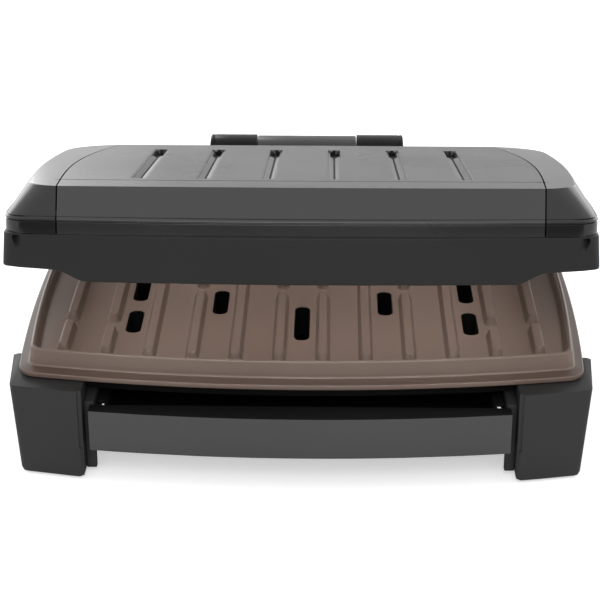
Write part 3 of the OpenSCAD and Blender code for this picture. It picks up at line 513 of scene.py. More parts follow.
def between(ring, other, share):
    """The outline part of the way from one ring to another."""
    return Ring(*(a + (b - a) * share for a, b in zip(ring, other)))


def softened(rings, radii):
    """Round the corners of a profile of rings: each inner ring is swapped for an arc of five."""
    profile = [rings[0]]
    for before, ring, after, radius in zip(rings, rings[1:], rings[2:], radii):
        near, far = ring_gap(before, ring), ring_gap(ring, after)
        start = between(ring, before, min(radius / near, CORNER_SHARE))
        end = between(ring, after, min(radius / far, CORNER_SHARE))
        for step in range(ARC_STEPS + 1):
            share = step / ARC_STEPS
            profile.append(between(between(start, ring, share), between(ring, end, share), share))
    profile.append(rings[-1])
    return profile


def ring_gap(ring, other):
    """Distance between two rings in the middle of their fronts."""
    return max(math.hypot(ring.z - other.z, ring.apex - other.apex), 0.01)


# %% [markdown]
# Scaling the rectangle would squash its round corners along with its sides. So straight parts and corners
# are carried apart from each other, the corners are then bent round, and the bows are added last.

# %% Following a point from ring to ring
BACK_BOW_REACH = 25  # an inner grid takes part in the back's bow over this depth


def stretched(value, reach, radius, new_reach, new_radius):
    """Carry a distance from the middle: straight part to straight part, and corner to corner."""
    size, straight = abs(value), reach - radius
    if size <= straight:
        carried = size * (new_reach - new_radius) / straight
    else:
        carried = new_reach - new_radius + (size - straight) * new_radius / radius
    return math.copysign(carried, value)


def rounded(x, y, half_x, half_y, radius):
    """Bend the square corner of a rectangle round its corner arc, with the points inside following."""
    from_side, from_end = half_x - abs(x), half_y - abs(y)
    if from_side >= radius or from_end >= radius:
        return x, y
    near, far = min(from_side, from_end), max(from_side, from_end)
    reach = radius - near
    turn = math.radians(45) * (1 - (far - near) / reach) if reach > 0 else 0
    shallow, deep = radius - reach * math.cos(turn), radius - reach * math.sin(turn)
    from_side, from_end = (shallow, deep) if from_side <= from_end else (deep, shallow)
    return math.copysign(half_x - from_side, x), math.copysign(half_y - from_end, y)


def middle_and_depth(ring):
    """Depth of the middle of a ring's rectangle, and half the rectangle's depth."""
    front = ring.apex + ring.bow
    return (front + ring.back) / 2, (ring.back - front) / 2


def on_ring(flat_x, flat_y, base, ring, side_from=0, front_to=None):
    """Place on a ring of a point of the flat base rectangle. Inner points may take less part in the bows."""
    base_middle, base_depth = middle_and_depth(base)
    middle, depth = middle_and_depth(ring)
    at_front = flat_y < base_middle
    base_r, radius = (base.front_r, ring.front_r) if at_front else (base.back_r, ring.back_r)
    x = stretched(flat_x, base.half, base_r, ring.half, radius)
    y = stretched(flat_y - base_middle, base_depth, base_r, depth, radius)
    x, y = rounded(x, y, ring.half, depth, radius)
    across, along = x / ring.half, y / depth
    side_part = smoothstep((abs(x) - side_from) / (ring.half - side_from)) if side_from else 1
    if front_to is None:
        front_part = (1 - along) / 2
        back_part = (1 + along) / 2
    else:
        front_part = 1 - smoothstep((y + depth) / (front_to - middle + depth))
        back_part = smoothstep((y - depth + BACK_BOW_REACH) / BACK_BOW_REACH)
    hump = 1 - across * across
    x += ring.side * across * (1 - along * along) * side_part
    y += middle - ring.bow * hump * front_part + ring.back_bow * hump * back_part
    return x, y, ring.z - ring.fall * y


# %% Grids and rings in bmesh


def grid_on(columns, rows):
    """A grid whose vertices remember their column and row as places on the flat rectangle."""
    bm = bmesh.new()
    bmesh.ops.create_grid(bm, x_segments=len(columns) - 1, y_segments=len(rows) - 1, size=1)
    flat_x = bm.verts.layers.float.new("flat_x")
    flat_y = bm.verts.layers.float.new("flat_y")
    for vert in bm.verts:
        vert[flat_x] = columns[round((vert.co.x + 1) / 2 * (len(columns) - 1))]
        vert[flat_y] = rows[round((vert.co.y + 1) / 2 * (len(rows) - 1))]
    return bm


def flat_place(bm, vert):
    """Where a vertex lies on the flat rectangle."""
    layers = bm.verts.layers.float
    return vert[layers["flat_x"]], vert[layers["flat_y"]]


def boundary(bm):
    """The open edges of a mesh."""
    return [edge for edge in bm.edges if edge.is_boundary]


def extruded(bm, edges):
    """Extrude a loop of edges. Returns the new vertices, the new loop and the faces between."""
    made = bmesh.ops.extrude_edge_only(bm, edges=edges)["geom"]
    verts = {part for part in made if isinstance(part, bmesh.types.BMVert)}
    faces = [part for part in made if isinstance(part, bmesh.types.BMFace)]
    loop = [
        part
        for part in made
        if isinstance(part, bmesh.types.BMEdge) and part.is_boundary and verts.issuperset(part.verts)
    ]
    return verts, loop, faces


def grow(bm, edges, base, rings, lift=None):
    """Extrude a loop of edges through a list of rings and return the last loop."""
    for ring in rings:
        verts, edges, _ = extruded(bm, edges)
        for vert in verts:
            vert.co = on_ring(*flat_place(bm, vert), base, ring)
            if lift:
                vert.co.z = lift(vert.co)
    return edges


def steps(start, end, count):
    """Evenly spaced values from start to end."""
    return [start + (end - start) * i / count for i in range(count + 1)]


# %% [markdown]
# ## The cooking plates
#
# A cooking plate is one aluminium casting: a floor with long ribs, a raised rim round it, and a flange
# that lies on the housing. A casting has no sharp edges at all, so its surface is drawn as one continuous
# sheet. The floor is a grid with closely spaced columns wherever a rib climbs, and the height of each
# vertex comes from its distance to the nearest rib. The rim and flange then grow from the grid's border,
# ring by ring.

# %% Sizes of the plates
PLATE_EDGE = Ring(-4.6, 161.5, -16.2, 14.5, 200.3, 4.5, 9, 9, 2)
UPPER_EDGE = Ring(-4.6, 157.5, -12, 9, 196.3, 4.5, 9, 9, 2)
RIM_CORNER = 5
FLANGE_CORNER = 0.5
FLOOR_INSET = 11.3
FRONT_EXTRA = 3.8  # the flange is this much wider in front
STRAIGHT_HALF = 143.5  # the floor's columns stay straight this far out from the middle
BOW_END = 46  # and the front's bow has died out at this depth
RIM_PROFILE = (  # inset from the flange's edge, height above the floor
    (11.0, 0.05), (10.6, 0.5), (9.7, 2.6), (8.9, 4.3), (8.4, 5.0), (7.9, 5.32), (7.3, 5.4),
    (6.9, 5.35), (6.5, 5.1), (6.2, 4.7), (6.0, 4.1), (5.35, -3.1), (5.1, -4.0), (4.7, -4.45), (4.2, -4.6),
)
FLANGE_PROFILE = (
    (0.9, -4.6), (0.45, -4.68), (0.12, -4.95), (0, -5.4), (0, -7.0), (0.15, -7.4), (0.5, -7.6),
)
UNDERSIDE = ((5.6, -7.6), (6.6, -7.4), (8.8, -3.6), (14, -3.5))

# %% Sizes of the drain slots
SLOT_HALF = 4.7
SLOT_CORNER = 4.2
SLOT_STEPS = (0, SLOT_HALF - SLOT_CORNER, 1.6, 2.6, 3.4, 4.1, SLOT_HALF)
SLOT_MIDDLE = 94.3
SLOT_ROWS = {  # distance from the middle: length of the slots, and where each starts, from SLOT_MIDDLE
    0: (43.5, (-64.5, 22)),
    50: (32, (-31.5, 15.5)),
    100: (29, (-56.5, -14.5, 27.5)),
}
SPOUT_PROFILE = ((0.12, -0.12), (0.3, -0.4), (0.35, -0.9), (0.35, -19.0))  # drawn in, height
SPOUT_DARK_BELOW = -0.3  # soot and shadow start at this height

# %% Sizes of the ribs
RIB_PITCH = 25.0
RIBS_EACH_SIDE = 6
RIB_HEIGHT = 5.0
RIB_FOOT = 4.0  # half the width of a rib at its foot
RIB_FILLET = 0.3  # the foot's fillet reaches this much further
RIB_CREST = 2.2  # half the width of its flat top
RIB_LEAD = 1.2  # depth at which the lower plate's ribs start
UPPER_RIB_LEAD = 7.2
RIB_BOW_EXTRA = 1.2  # the ribs' starts bow this much more than the plate's front
RIB_BACK_GAP = 6  # from the ribs' ends to the back of the floor
# Breaks in the ribs, counted from the middle: end of the front part, start of the back part
RIB_BREAKS = {0: (88.5, 98.0), 2: (88.5, 98.0), 4: (40.5, 50.0), 5: (46.5, 52.5)}
FLANK_STEPS = (5.6, 4.6, 4.2, 3.9, 3.6, 3.3, 3.0, 2.7, 2.4, 2.1, 1.2)  # columns on each side of a rib
RIM_COLUMNS = (144.6, 146.4, 148.0, 149.2)  # between the outermost ribs and the rim
RIM_CLEARANCE = 0.6  # no column comes nearer to the border than this


def rib_columns():
    """Places of the grid's columns: close together over the ribs' flanks, with the slots' edges between."""
    places = {0.0, *RIM_COLUMNS}
    for k in range(RIBS_EACH_SIDE):
        centre = (k + 0.5) * RIB_PITCH
        places.update(centre + side * offset for offset in FLANK_STEPS for side in (-1, 1))
        places.add(centre)
    for column in SLOT_ROWS:
        places.update(column + side * offset for offset in SLOT_STEPS for side in (-1, 1))
    places = {round(place, 3) for place in places if place >= 0}
    return sorted({-place for place in places} | places)


def rib_height(x, y, first, last, breaks):
    """Height of the nearest rib at a point: a flat crest with flanks that run out smoothly."""
    k = min(int(abs(x) / RIB_PITCH), RIBS_EACH_SIDE - 1)
    off = abs(abs(x) - (k + 0.5) * RIB_PITCH)
    stops = [first, *breaks.get(k, ()), last]
    foot = RIB_FOOT + RIB_FILLET
    height = 0
    for start, end in zip(stops[::2], stops[1::2]):
        beyond = max(start + RIB_FOOT - y, y - end + RIB_FOOT, 0)
        away = math.hypot(off, beyond)
        height = max(height, RIB_HEIGHT * smoothstep((foot - away) / (foot - RIB_CREST)))
    return height


# %% Floor, ribs, rim and flange


END_ROWS = 10  # over this depth behind the floor's front the rows are close together
BACK_ROWS = 12  # and over this depth before its back
# Depth, and number of rows up to it: many where ribs break
FLOOR_ROWS = ((36, 9), (60, 26), (86, 16), (101, 18))


def floor_rows(front, back):
    """Places of the grid's rows: close together where the ribs start, break and end."""
    rows = steps(front, front + END_ROWS, 16)
    for end, count in (*FLOOR_ROWS, (back - BACK_ROWS, 48), (back, 16)):
        rows += steps(rows[-1], end, count)[1:]
    return rows


def cast_plate(edge, lead, breaks):
    """The upper side of a plate as one sheet of ribbed floor, and the ring round it."""
    floor = inner_ring(edge, FLOOR_INSET, 0, FRONT_EXTRA, RIM_CORNER)
    half, front, back = floor.half, floor.apex + floor.bow, floor.back
    columns = [place for place in rib_columns() if abs(place) < half - RIM_CLEARANCE]
    bm = grid_on([-half, *columns, half], floor_rows(front, back))
    for vert in bm.verts:
        x, y, _ = on_ring(*flat_place(bm, vert), floor, floor, side_from=STRAIGHT_HALF, front_to=BOW_END)
        rib_start = lead + (edge.bow + RIB_BOW_EXTRA) * (x / PLATE_EDGE.half) ** 2
        vert.co = (x, y, rib_height(x, y, rib_start, back - RIB_BACK_GAP, breaks))
    return bm, floor


def grow_rim(bm, floor, edge):
    """Grow the rim, the flange and its underside from the border of the floor."""
    rim = [inner_ring(edge, inset, z, FRONT_EXTRA, RIM_CORNER) for inset, z in RIM_PROFILE]
    flange = [inner_ring(edge, inset, z, 0, FLANGE_CORNER) for inset, z in FLANGE_PROFILE]
    under = [inner_ring(edge, inset, z, FRONT_EXTRA, RIM_CORNER) for inset, z in UNDERSIDE]
    grow(bm, boundary(bm), floor, rim + flange + under)


# %% [markdown]
# Fat runs off through slots between the ribs, each with a spout cast below it. A slot is made in the
# sheet itself: the faces over it are taken out, the edge of the hole is pulled to a rectangle with round
# corners, and the edge is then extruded down, over a small rounding, to the mouth of the spout.

# %% Drain slots
FLOOR_NEAR = 0.5  # a face this near to the floor's height lies on the floor
END_NEAR = 0.4  # a vertex this near to a hole's end belongs to that end


def slot_outline(x, y, centre, start, length, shrink):
    """Pull a point on a hole's border to the slot's outline, drawn in by a shrink."""
    middle = start + length / 2
    x, y = rounded(x - centre, y - middle, SLOT_HALF, length / 2, SLOT_CORNER)
    return centre + x * (1 - shrink / SLOT_HALF), middle + y * (1 - 2 * shrink / length)


def over_slot(face, centre, start, end):
    """Does a face of the floor lie over a slot?"""
    place = face.calc_center_median()
    return abs(place.x - centre) < SLOT_HALF and start < place.y < end and abs(place.z) < FLOOR_NEAR


def cut_slot(bm, centre, start, length):
    """Open one drain slot in the floor and grow its spout."""
    end = start + length
    over = {face for face in bm.faces if over_slot(face, centre, start, end)}
    border = [edge for edge in bm.edges if sum(face in over for face in edge.link_faces) == 1]
    bmesh.ops.delete(bm, geom=list(over), context="FACES")
    verts = {vert for edge in border for vert in edge.verts}
    low, high = min(vert.co.y for vert in verts), max(vert.co.y for vert in verts)
    layers = bm.verts.layers.float
    for vert in verts:
        x = max(min(vert.co.x, centre + SLOT_HALF), centre - SLOT_HALF)
        y = vert.co.y
        if y < low + END_NEAR:
            y = start
        elif y > high - END_NEAR:
            y = end
        vert[layers["flat_x"]], vert[layers["flat_y"]] = x, y
        vert.co.x, vert.co.y = slot_outline(x, y, centre, start, length, 0)
    for shrink, z in SPOUT_PROFILE:
        verts, border, faces = extruded(bm, border)
        # Below that height the spout is painted dark: soot, and painted shade inside the slot.
        for face in faces:
            face.material_index = 1 if z < SPOUT_DARK_BELOW else 0
        for vert in verts:
            vert.co = (*slot_outline(*flat_place(bm, vert), centre, start, length, shrink), z)


# %% Lower plate
FACES_UP = 0.9  # least height of an upward face's normal
SAME_HEIGHT = 0.05

lower, lower_floor = cast_plate(PLATE_EDGE, RIB_LEAD, RIB_BREAKS)
grow_rim(lower, lower_floor, PLATE_EDGE)
for column, (length, starts) in SLOT_ROWS.items():
    for centre in sorted({-column, column}):
        for start in starts:
            cut_slot(lower, centre, SLOT_MIDDLE + start, length)
bmesh.ops.recalc_face_normals(lower, faces=lower.faces)
lower.normal_update()
# Faces that look up at the flange's height take the darker brown of painted shade.
for face in lower.faces:
    if face.normal.z > FACES_UP and abs(face.calc_center_median().z - PLATE_EDGE.z) < SAME_HEIGHT:
        face.material_index = 2
lower_plate = add_piece(
    lower, "lower_plate_cast", "base", "cooking_plate", ["lower_plate"], PLATE_PLACE,
    others=["inside", "flange_top_painted_shade"],
)

# %% [markdown]
# The half-open lid keeps nearly all light from the cooking floor. Photographers bounce a little light
# into such a gap. Here a lamp above does it, which is linked to the plate alone: nothing else receives
# its light or blocks it.

# %% Light on the cooking floor
FILL_PLACE = (0, -0.045, 0.6)
FILL_SIZE = (0.26, 0.15)
FILL_SPREAD = math.radians(14)
FILL_POWER = 0.13

fill_data = bpy.data.lights.new("floor_fill", "AREA")
fill_data.shape = "RECTANGLE"
fill_data.size, fill_data.size_y = FILL_SIZE
fill_data.spread = FILL_SPREAD
fill_data.energy = FILL_POWER
fill = bpy.data.objects.new("floor_fill", fill_data)
fill.location = FILL_PLACE
bpy.context.scene.collection.objects.link(fill)
lit = bpy.data.collections.new("lit_by_floor_fill")
lit.objects.link(lower_plate)
fill.light_linking.receiver_collection = lit
fill.light_linking.blocker_collection = lit

# %% [markdown]
# The upper plate is the same casting without slots, a little smaller and with its own front edge. It
# hangs face down in the lid, so the sheet is mirrored in height and carried by the lid's matrix.

# %% Upper plate
COOKING_FACE = 12.0  # height of the upper plate's cooking face in the shut lid
upper, upper_floor = cast_plate(UPPER_EDGE, UPPER_RIB_LEAD, {})
grow_rim(upper, upper_floor, UPPER_EDGE)
upper.transform(Matrix.Translation((0, 0, COOKING_FACE)) @ Matrix.Diagonal((1, 1, -1, 1)))
bmesh.ops.recalc_face_normals(upper, faces=upper.faces)
add_piece(upper, "upper_plate_cast", "lid", "cooking_plate", ["upper_plate"], LID_PLACE)

# %% [markdown]
# ## The lid's skirt
#
# The skirt is the matt frame under the lid. Its lower edge rises at the front corners, where fingers take
# hold, and at the back, where it has to clear the lower plate as the lid turns. It starts as a loop of
# edges at its inner ledge, runs out over the top, down the outer wall, round the lower edge and back up
# inside, and closes on itself.

# %% Sizes of the skirt
SKIRT_TOP = 23.5
SKIRT_LOW = Ring(-3, 164.7, -17, 10, 203.3, 3.8, 3.5, 22)
SKIRT_HIGH = Ring(SKIRT_TOP, 163.6, -17.5, 9.5, 203.3, 4.0, 8, 22)
OUTER_TOP = ((1.0, SKIRT_TOP), (0.5, 23.42), (0.12, 23.1), (0, 22.6))  # inset, height
WALL_RINGS = 18
WALL_END = 0.9  # the wall stops this far above its lower edge and turns inward
LOWER_EDGE = (  # inset, height above the lower edge
    (0.12, 0.35), (0.45, 0.05), (0.9, 0), (2.4, 0), (2.85, 0.15), (3.0, 0.6),
)
SKIRT_WALL = 3.0
LEDGE_INSET = 14
LEDGE_UNDER = 19.9
RISE = 6.3  # how much higher the lower edge is beside the middle
RISE_FROM, RISE_TO = 117.5, 135.5
CORNER_RISE = 0.045  # slope of the lower edge from there to the corner
BACK_RISE = ((153.3, 3.4), (188.3, 12.0))  # the lower edge at the back: depth and height
GRIP_EDGE = 155.3  # where the grip at each corner starts
GRIP_BEFORE = 20  # only the wall in front of this depth has grips
GRIP_SLANT = 0.22  # how far its face turns away from the front
NOTCH_DEPTH = 4.0
NOTCH_LEAN = 2.8  # how far the notch's outer edge leans outward at its top
NOTCH_REACH = 0.55  # share of the wall's height that the notch takes
NOTCH_WIDTH = 3.2


# %% Lower edge and finger grips


def skirt_edge(x, y):
    """Height of the skirt's lower edge at a point of its outline."""
    front = SKIRT_LOW.z + RISE * smoothstep((abs(x) - RISE_FROM) / (RISE_TO - RISE_FROM))
    front += CORNER_RISE * max(abs(x) - RISE_TO, 0)
    (y0, z0), (y1, z1) = BACK_RISE
    if y < y0:
        return front
    return max(front, z0 + (z1 - z0) * min((y - y0) / (y1 - y0), 1))


def wall_height(share, above):
    """Rule for a ring's height: a share of the way down to a place above the lower edge."""
    top = OUTER_TOP[-1][1]
    return lambda place: top + (skirt_edge(place.x, place.y) + above - top) * share


def grip_push(x, y, share):
    """How far the front wall lies back at a point, where the finger grip and its notch are."""
    if y > GRIP_BEFORE:
        return 0
    push = GRIP_SLANT * share * max(abs(x) - GRIP_EDGE, 0)
    fade = 1 - smoothstep(share / NOTCH_REACH)
    beside = GRIP_EDGE + NOTCH_LEAN * fade - abs(x)
    if beside > 0:
        push += NOTCH_DEPTH * fade * math.exp(-((beside / NOTCH_WIDTH) ** 2))
    return push


# %% Columns and rows of the skirt's outline
PLAIN_COLUMNS = 120  # over the straight part between the corners
FINE_FROM = 150  # the columns are close together from here to the corner


def skirt_columns():
    """Columns of the skirt's rectangle, closest at the grips."""
    straight = SKIRT_HIGH.half - max(SKIRT_HIGH.front_r, SKIRT_HIGH.back_r)
    side = steps(straight, FINE_FROM, 5) + steps(FINE_FROM, SKIRT_HIGH.half, 30)[1:]
    return [-place for place in reversed(side)] + steps(-straight, straight, PLAIN_COLUMNS)[1:-1] + side


def skirt_rows(middle_count, corner_count):
    """Rows of the skirt's rectangle, with its corner radii at the front and at the back."""
    front, back = SKIRT_HIGH.apex + SKIRT_HIGH.bow, SKIRT_HIGH.back
    return (
        steps(front, front + SKIRT_HIGH.front_r, corner_count)
        + steps(front + SKIRT_HIGH.front_r, back - SKIRT_HIGH.back_r, middle_count)[1:]
        + steps(back - SKIRT_HIGH.back_r, back, corner_count)[1:]
    )


def loop_on(columns, rows, base, ring):
    """A loop of edges on a ring, which remembers its places on the base rectangle."""
    bm = grid_on(columns, rows)
    inner = [vert for vert in bm.verts if not vert.is_boundary]
    bmesh.ops.delete(bm, geom=inner, context="VERTS")
    bmesh.ops.delete(bm, geom=list(bm.faces), context="FACES_ONLY")
    for vert in bm.verts:
        vert.co = on_ring(*flat_place(bm, vert), base, ring)
    return bm


# %% Skirt
ledge = inner_ring(SKIRT_HIGH, LEDGE_INSET, SKIRT_TOP)
skirt = loop_on(skirt_columns(), skirt_rows(60, 10), SKIRT_HIGH, ledge)
outer_top = [inner_ring(SKIRT_HIGH, inset, z) for inset, z in OUTER_TOP]
wall_end = grow(skirt, list(skirt.edges), SKIRT_HIGH, outer_top)
down = [index / WALL_RINGS for index in range(1, WALL_RINGS + 1)]
wall = [(between(SKIRT_HIGH, SKIRT_LOW, share), share, WALL_END) for share in down]
wall += [(inner_ring(SKIRT_LOW, inset, 0), 1, above) for inset, above in LOWER_EDGE]
for ring, share, above in wall:
    wall_end = grow(skirt, wall_end, SKIRT_HIGH, [ring], lift=wall_height(share, above))
    for vert in {vert for edge in wall_end for vert in edge.verts}:
        vert.co.y += grip_push(vert.co.x, vert.co.y, share)
inside = [inner_ring(SKIRT_HIGH, inset, LEDGE_UNDER) for inset in (SKIRT_WALL + NOTCH_DEPTH, LEDGE_INSET)]
grow(skirt, wall_end, SKIRT_HIGH, inside)
bmesh.ops.bridge_loops(skirt, edges=boundary(skirt))
bmesh.ops.recalc_face_normals(skirt, faces=skirt.faces)
add_piece(skirt, "lid_skirt", "lid", "skirt", ["lid_frame"], LID_PLACE)

# %% [markdown]
# ## The lid's cover and end caps
#
# Cover and caps look like one body parted by two curved seams, so they are made as one body and parted at
# the end. The top is a grid with extra columns where the grooves run and extra rows at the line that
# crosses it, and the walls grow down from it ring by ring. Each corner of the walls' profile becomes an
# arc of five rings, because a moulded edge is round and catches a line of light.

# %% Sizes of the cover
TOP_HIGH = Ring(48.6, 149.8, -3.0, 2.5, 188.6, 6.9, 17, 31, 0, 0.005)
TOP_LOW = Ring(48.4, 150.6, -3.2, 2.5, 193.3, 6.9, 18, 32, 0, 0.0148)
BELT_HIGH = Ring(31.6, 163.0, -16.1, 7, 203.3, 4.5, 14, 24)
BELT_LOW = BELT_HIGH._replace(z=31.2)
LINE_HIGH = BELT_HIGH._replace(z=31.0, half=162.0, apex=-15.1)
LINE_LOW = LINE_HIGH._replace(z=30.4)
BAND_HIGH = BELT_HIGH._replace(z=30.1, half=162.8, apex=-15.8)
BAND_LOW = BAND_HIGH._replace(z=SKIRT_TOP)
WALL_PROFILE = (TOP_HIGH, TOP_LOW, BELT_HIGH, BELT_LOW, LINE_HIGH, LINE_LOW, BAND_HIGH, BAND_LOW)
WALL_RADII = (0.4, 0.4, 0.15, 0.2, 0.2, 0.2)
TOP_STRAIGHT_HALF = 104  # the top's columns stay straight this far out from the middle
TOP_BOW_END = 60  # and its front's bow has died out at this depth
SEAM_FRONT = 134.2  # distance of the seams from the middle, at the front
SEAM_GAP = 0.8
PANEL_LINE = 24.2  # depth of the line that crosses the cover in front of the grooves
PANEL_LINE_HALF, PANEL_LINE_DEPTH = 0.6, 0.5
PANEL_LINE_LIP = 0.06  # width of its steep sides
PANEL_LINE_PAST = 1.6  # it runs this far past the seams
LID_WALL = 2.2
GROOVE_PITCH = 37.2
GROOVE_COUNT = 6
GROOVE_FRONT, GROOVE_BACK = 31.5, 164.5
POCKET_FRONT = 139.0
POCKET_DEPTH = 3.4
GROOVE_STEP = 0.25  # length of the steep step at a groove's front and at its pocket's
GROOVE_END = 0.1  # this near to its ends a groove has no depth
GROOVE_PROFILE = (  # distance from the middle line, depth
    (0, 2.3), (0.6, 2.2), (1.6, 1.5), (2.7, 1.1), (3.6, 0.9),
    (3.8, 0.4), (4.4, 0.35), (4.6, 0.05), (4.9, 0), (5.5, 0),
)
POCKET_HALF = GROOVE_PROFILE[3][0]
# A groove's deep middle is painted black as shade over this half width, and its pocket too.
MIDDLE_SHADE_HALF = 0.7  # half the width of the black line in the middle of a groove
GROOVE_MARGIN = GROOVE_PROFILE[-1][0]
NEAR = 0.01  # places this close count as the same

# %% Grooves



def groove_off(x):
    """Signed distance from the nearest groove's middle line, and that line's place."""
    index = min(max(round(x / GROOVE_PITCH + (GROOVE_COUNT - 1) / 2), 0), GROOVE_COUNT - 1)
    centre = (index - (GROOVE_COUNT - 1) / 2) * GROOVE_PITCH
    return x - centre, centre


def groove_depth(size):
    """Depth of a groove at a distance from its middle line."""
    for (near, high), (far, low) in zip(GROOVE_PROFILE, GROOVE_PROFILE[1:]):
        if size <= far + 0.1 * NEAR:
            return high + (low - high) * (size - near) / (far - near)
    return 0


def grooved(x, y):
    """Move a point of the lid's top into the nearest groove: narrower towards its round end, and down."""
    off, centre = groove_off(x)
    size = abs(off)
    if size > GROOVE_MARGIN or not GROOVE_FRONT - NEAR <= y <= GROOVE_BACK + NEAR:
        return x, 0
    past = max(y - GROOVE_BACK + GROOVE_MARGIN, 0) / GROOVE_MARGIN
    narrow = math.sqrt(max(1 - past * past, 0))
    outside = max(size - POCKET_HALF, 0) / (GROOVE_MARGIN - POCKET_HALF)
    moved = size * narrow + outside * GROOVE_MARGIN * (1 - narrow)
    if not GROOVE_FRONT + GROOVE_END < y < GROOVE_BACK - GROOVE_END:
        depth = 0
    elif y > POCKET_FRONT + GROOVE_END and size <= POCKET_HALF:
        depth = POCKET_DEPTH
    else:
        depth = groove_depth(size)
    return centre + math.copysign(moved, off), depth


# %% Columns and rows of the lid's top
BEFORE_GROOVES = (0, 6, 11)
BETWEEN_GROOVES = (10, 16, 22)  # from a groove's middle line outward
ARC_ANGLES = (20, 36, 50, 62, 72, 81, 90)  # rows of a groove's round end


def top_columns(half):
    """Columns of the top's grid: close together over the grooves' steps and near the seams."""
    places = set(BEFORE_GROOVES)
    for k in range(GROOVE_COUNT // 2):
        centre = (k + 0.5) * GROOVE_PITCH
        places.update(centre + side * step for step, depth in GROOVE_PROFILE for side in (-1, 1))
        places.update(centre + step for step in BETWEEN_GROOVES)
    places.update(steps(118, 134, 6) + steps(135, half, 8))
    places = sorted({round(place, 3) for place in places if 0 <= place <= half} | {half})
    return [-place for place in reversed(places) if place] + places


def top_rows(front, back):
    """Rows of the top's grid: close together at the line across it and at both ends of the grooves."""
    lip = PANEL_LINE_HALF + PANEL_LINE_LIP
    arc_start = GROOVE_BACK - GROOVE_MARGIN
    arc = [arc_start + GROOVE_MARGIN * math.sin(math.radians(angle)) for angle in ARC_ANGLES]
    return (
        steps(front, 22, 10)
        + [PANEL_LINE + off for off in (-lip, -PANEL_LINE_HALF, PANEL_LINE_HALF, lip)]
        + [28, GROOVE_FRONT, GROOVE_FRONT + GROOVE_STEP, 33, 36]
        + steps(42, 134, 18)
        + [POCKET_FRONT, POCKET_FRONT + GROOVE_STEP, 142, 147, 152, 157, arc_start]
        + arc
        + steps(166, back, 12)
    )


def is_painted_shade(face):
    """Does a face lie where a groove's middle line or its pocket is painted black as shade?"""
    places = [flat_place(lid_shell, vert) for vert in face.verts]
    x, y = (sum(values) / len(places) for values in zip(*places))
    reach = POCKET_HALF if y > POCKET_FRONT else MIDDLE_SHADE_HALF
    return GROOVE_FRONT < y < GROOVE_BACK and abs(groove_off(x)[0]) < reach


# %% Top of the lid
lid_shell = grid_on(top_columns(TOP_HIGH.half), top_rows(TOP_HIGH.apex + TOP_HIGH.bow, TOP_HIGH.back))
for vert in lid_shell.verts:
    flat_x, flat_y = flat_place(lid_shell, vert)
    x, y, z = on_ring(flat_x, flat_y, TOP_HIGH, TOP_HIGH, TOP_STRAIGHT_HALF, TOP_BOW_END)
    x, depth = grooved(x, flat_y)
    if abs(flat_x) <= SEAM_FRONT + PANEL_LINE_PAST and abs(flat_y - PANEL_LINE) < PANEL_LINE_HALF + NEAR:
        depth = PANEL_LINE_DEPTH
    vert.co = (x, y, z - depth)
# Faces along the grooves' middles and in their pockets take the dark finish of painted shade.
for face in lid_shell.faces:
    if is_painted_shade(face):
        face.material_index = 1
print("top of the lid:", len(lid_shell.faces), "faces")

# %% Walls of the lid
grow(lid_shell, boundary(lid_shell), TOP_HIGH, softened(WALL_PROFILE, WALL_RADII)[1:])
bmesh.ops.remove_doubles(lid_shell, verts=lid_shell.verts, dist=0.005)
bmesh.ops.recalc_face_normals(lid_shell, faces=lid_shell.faces)
largest = max(lid_shell.faces, key=lambda face: face.calc_area())
if largest.normal.z < 0:
    bmesh.ops.reverse_faces(lid_shell, faces=lid_shell.faces)
bmesh.ops.solidify(lid_shell, geom=list(lid_shell.faces), thickness=LID_WALL)
print("lid body:", len(lid_shell.faces), "faces")

# %% [markdown]
# The seams are curved, but Blender cuts along planes. So the body is first squeezed sideways until both
# seams are straight, cut there by a plane, and let out again. The cut ends of the wall are filled, and a
# gap of 0.8 mm stays between the pieces, so that each seam shows as a thin dark line.

# %% Part the body along its seams
SEAM_SPREAD, SEAM_BEND = 0.0813, 4.05e-6  # the seams run apart towards the back, and bend in again
SEAM_FROM = -20  # in front of this depth they run straight


def seam_at(y):
    """Distance of the seam from the middle at a depth."""
    y = max(y, SEAM_FROM)
    return SEAM_FRONT + SEAM_SPREAD * y - SEAM_BEND * y**3


def squeeze(bm, out=False):
    """Squeeze the body until its seams are straight, or let it out again."""
    for vert in bm.verts:
        share = seam_at(vert.co.y) / SEAM_FRONT
        vert.co.x *= share if out else 1 / share


def cut_off(bm, place, towards):
    """Cut away what lies beyond a plane across the body, and close the wall's cut ends."""
    geom = list(bm.verts) + list(bm.edges) + list(bm.faces)
    cut = bmesh.ops.bisect_plane(
        bm, geom=geom, dist=0.0005, plane_co=(place, 0, 0), plane_no=(towards, 0, 0), clear_outer=True
    )
    rim = [part for part in cut["geom_cut"] if isinstance(part, bmesh.types.BMEdge)]
    bmesh.ops.holes_fill(bm, edges=rim, sides=0)


def parted(name, cuts, finish, node):
    """Make a piece of the lid's body by cutting a copy of it."""
    bm = lid_shell.copy()
    squeeze(bm)
    for place, towards in cuts:
        cut_off(bm, place, towards)
    squeeze(bm, out=True)
    return add_piece(bm, name, "lid", finish, [node], LID_PLACE, others=["inside"])


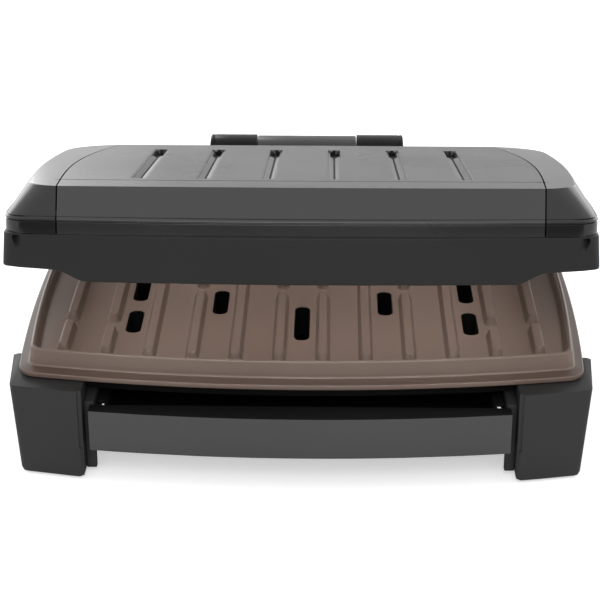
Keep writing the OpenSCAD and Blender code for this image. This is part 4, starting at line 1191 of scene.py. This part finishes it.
cover_edge, cap_edge = SEAM_FRONT - SEAM_GAP / 2, SEAM_FRONT + SEAM_GAP / 2
parted("lid_cover_skin", ((cover_edge, 1), (-cover_edge, -1)), "cover", "lid_cover")
parted("lid_end_cap_right_skin", ((cap_edge, -1),), "cap", "lid_end_cap_right")
parted("lid_end_cap_left_skin", ((-cap_edge, 1),), "cap", "lid_end_cap_left")
lid_shell.free()


# %% [markdown]
# ## The frame pieces
#
# The rest of the grill keeps the frame's own shapes. What shows most gets rounded edges, by way of the
# bevelled copies from above. Every other piece takes the finish of its material slot, except the base
# housing: only its shaded deck shows under the cooking plate, so the whole housing is painted dark for that
# shade.

# %% Frame pieces with rounded edges
BODY_OF = {node: piece["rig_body"] for node, piece in NODES.items()}
SLOT_OF = {part["node"]: part["material_slot"] for part in frame["record"]["subparts"]}
EDGED = {  # node: finish, width of its rounded edges
    "front_leg_left": ("housing", 0.8),
    "front_leg_right": ("housing", 0.8),
    "rear_leg_left": ("housing", 0.8),
    "rear_leg_right": ("housing", 0.8),
    "side_rail_left": ("housing", 0.5),
    "side_rail_right": ("housing", 0.5),
    "rear_housing": ("tower", 1.2),
    "tower_cap_left": ("tower", 1.0),
    "tower_cap_right": ("tower", 1.0),
    "rear_cover": ("housing", 0.6),
    "lid_hinge_block": ("hinge", 0.8),
    "drip_tray": ("inside", 0.6),
}
edged = {
    node: bevelled_copy(node, BODY_OF[node], finish, width)
    for node, (finish, width) in EDGED.items()
}

# %% [markdown]
# The drip tray is one moulding, grey on its bowed front. Its bowl and the top of its front lie in shade
# under the cooking plate, and that shade is painted: the tray starts in the dark finish, and the faces in
# front that look forward take the grey one as a second finish.

# %% Front of the drip tray
TRAY_FRONT_DEPTH = 20 * MM  # the front and its bow lie within this depth
LOOKS_FORWARD = -0.5  # most that a forward face's normal has along the depth
tray_mesh = edged["drip_tray"].data
tray_mesh.materials.append(FINISHES["tray"])
front_end = min(vert.co.y for vert in tray_mesh.vertices) + TRAY_FRONT_DEPTH
# Faces that do not look forward keep the dark finish, as painted shade.
for face in tray_mesh.polygons:
    if face.center.y < front_end and face.normal.y < LOOKS_FORWARD:
        face.material_index = 1

# %% Finishes of the other frame pieces
for node, piece in NODES.items():
    piece.data.materials.clear()
    # The base housing takes the dark finish of painted shade instead of its own.
    piece.data.materials.append(FINISHES["inside" if node == "base_housing" else SLOT_OF[node]])
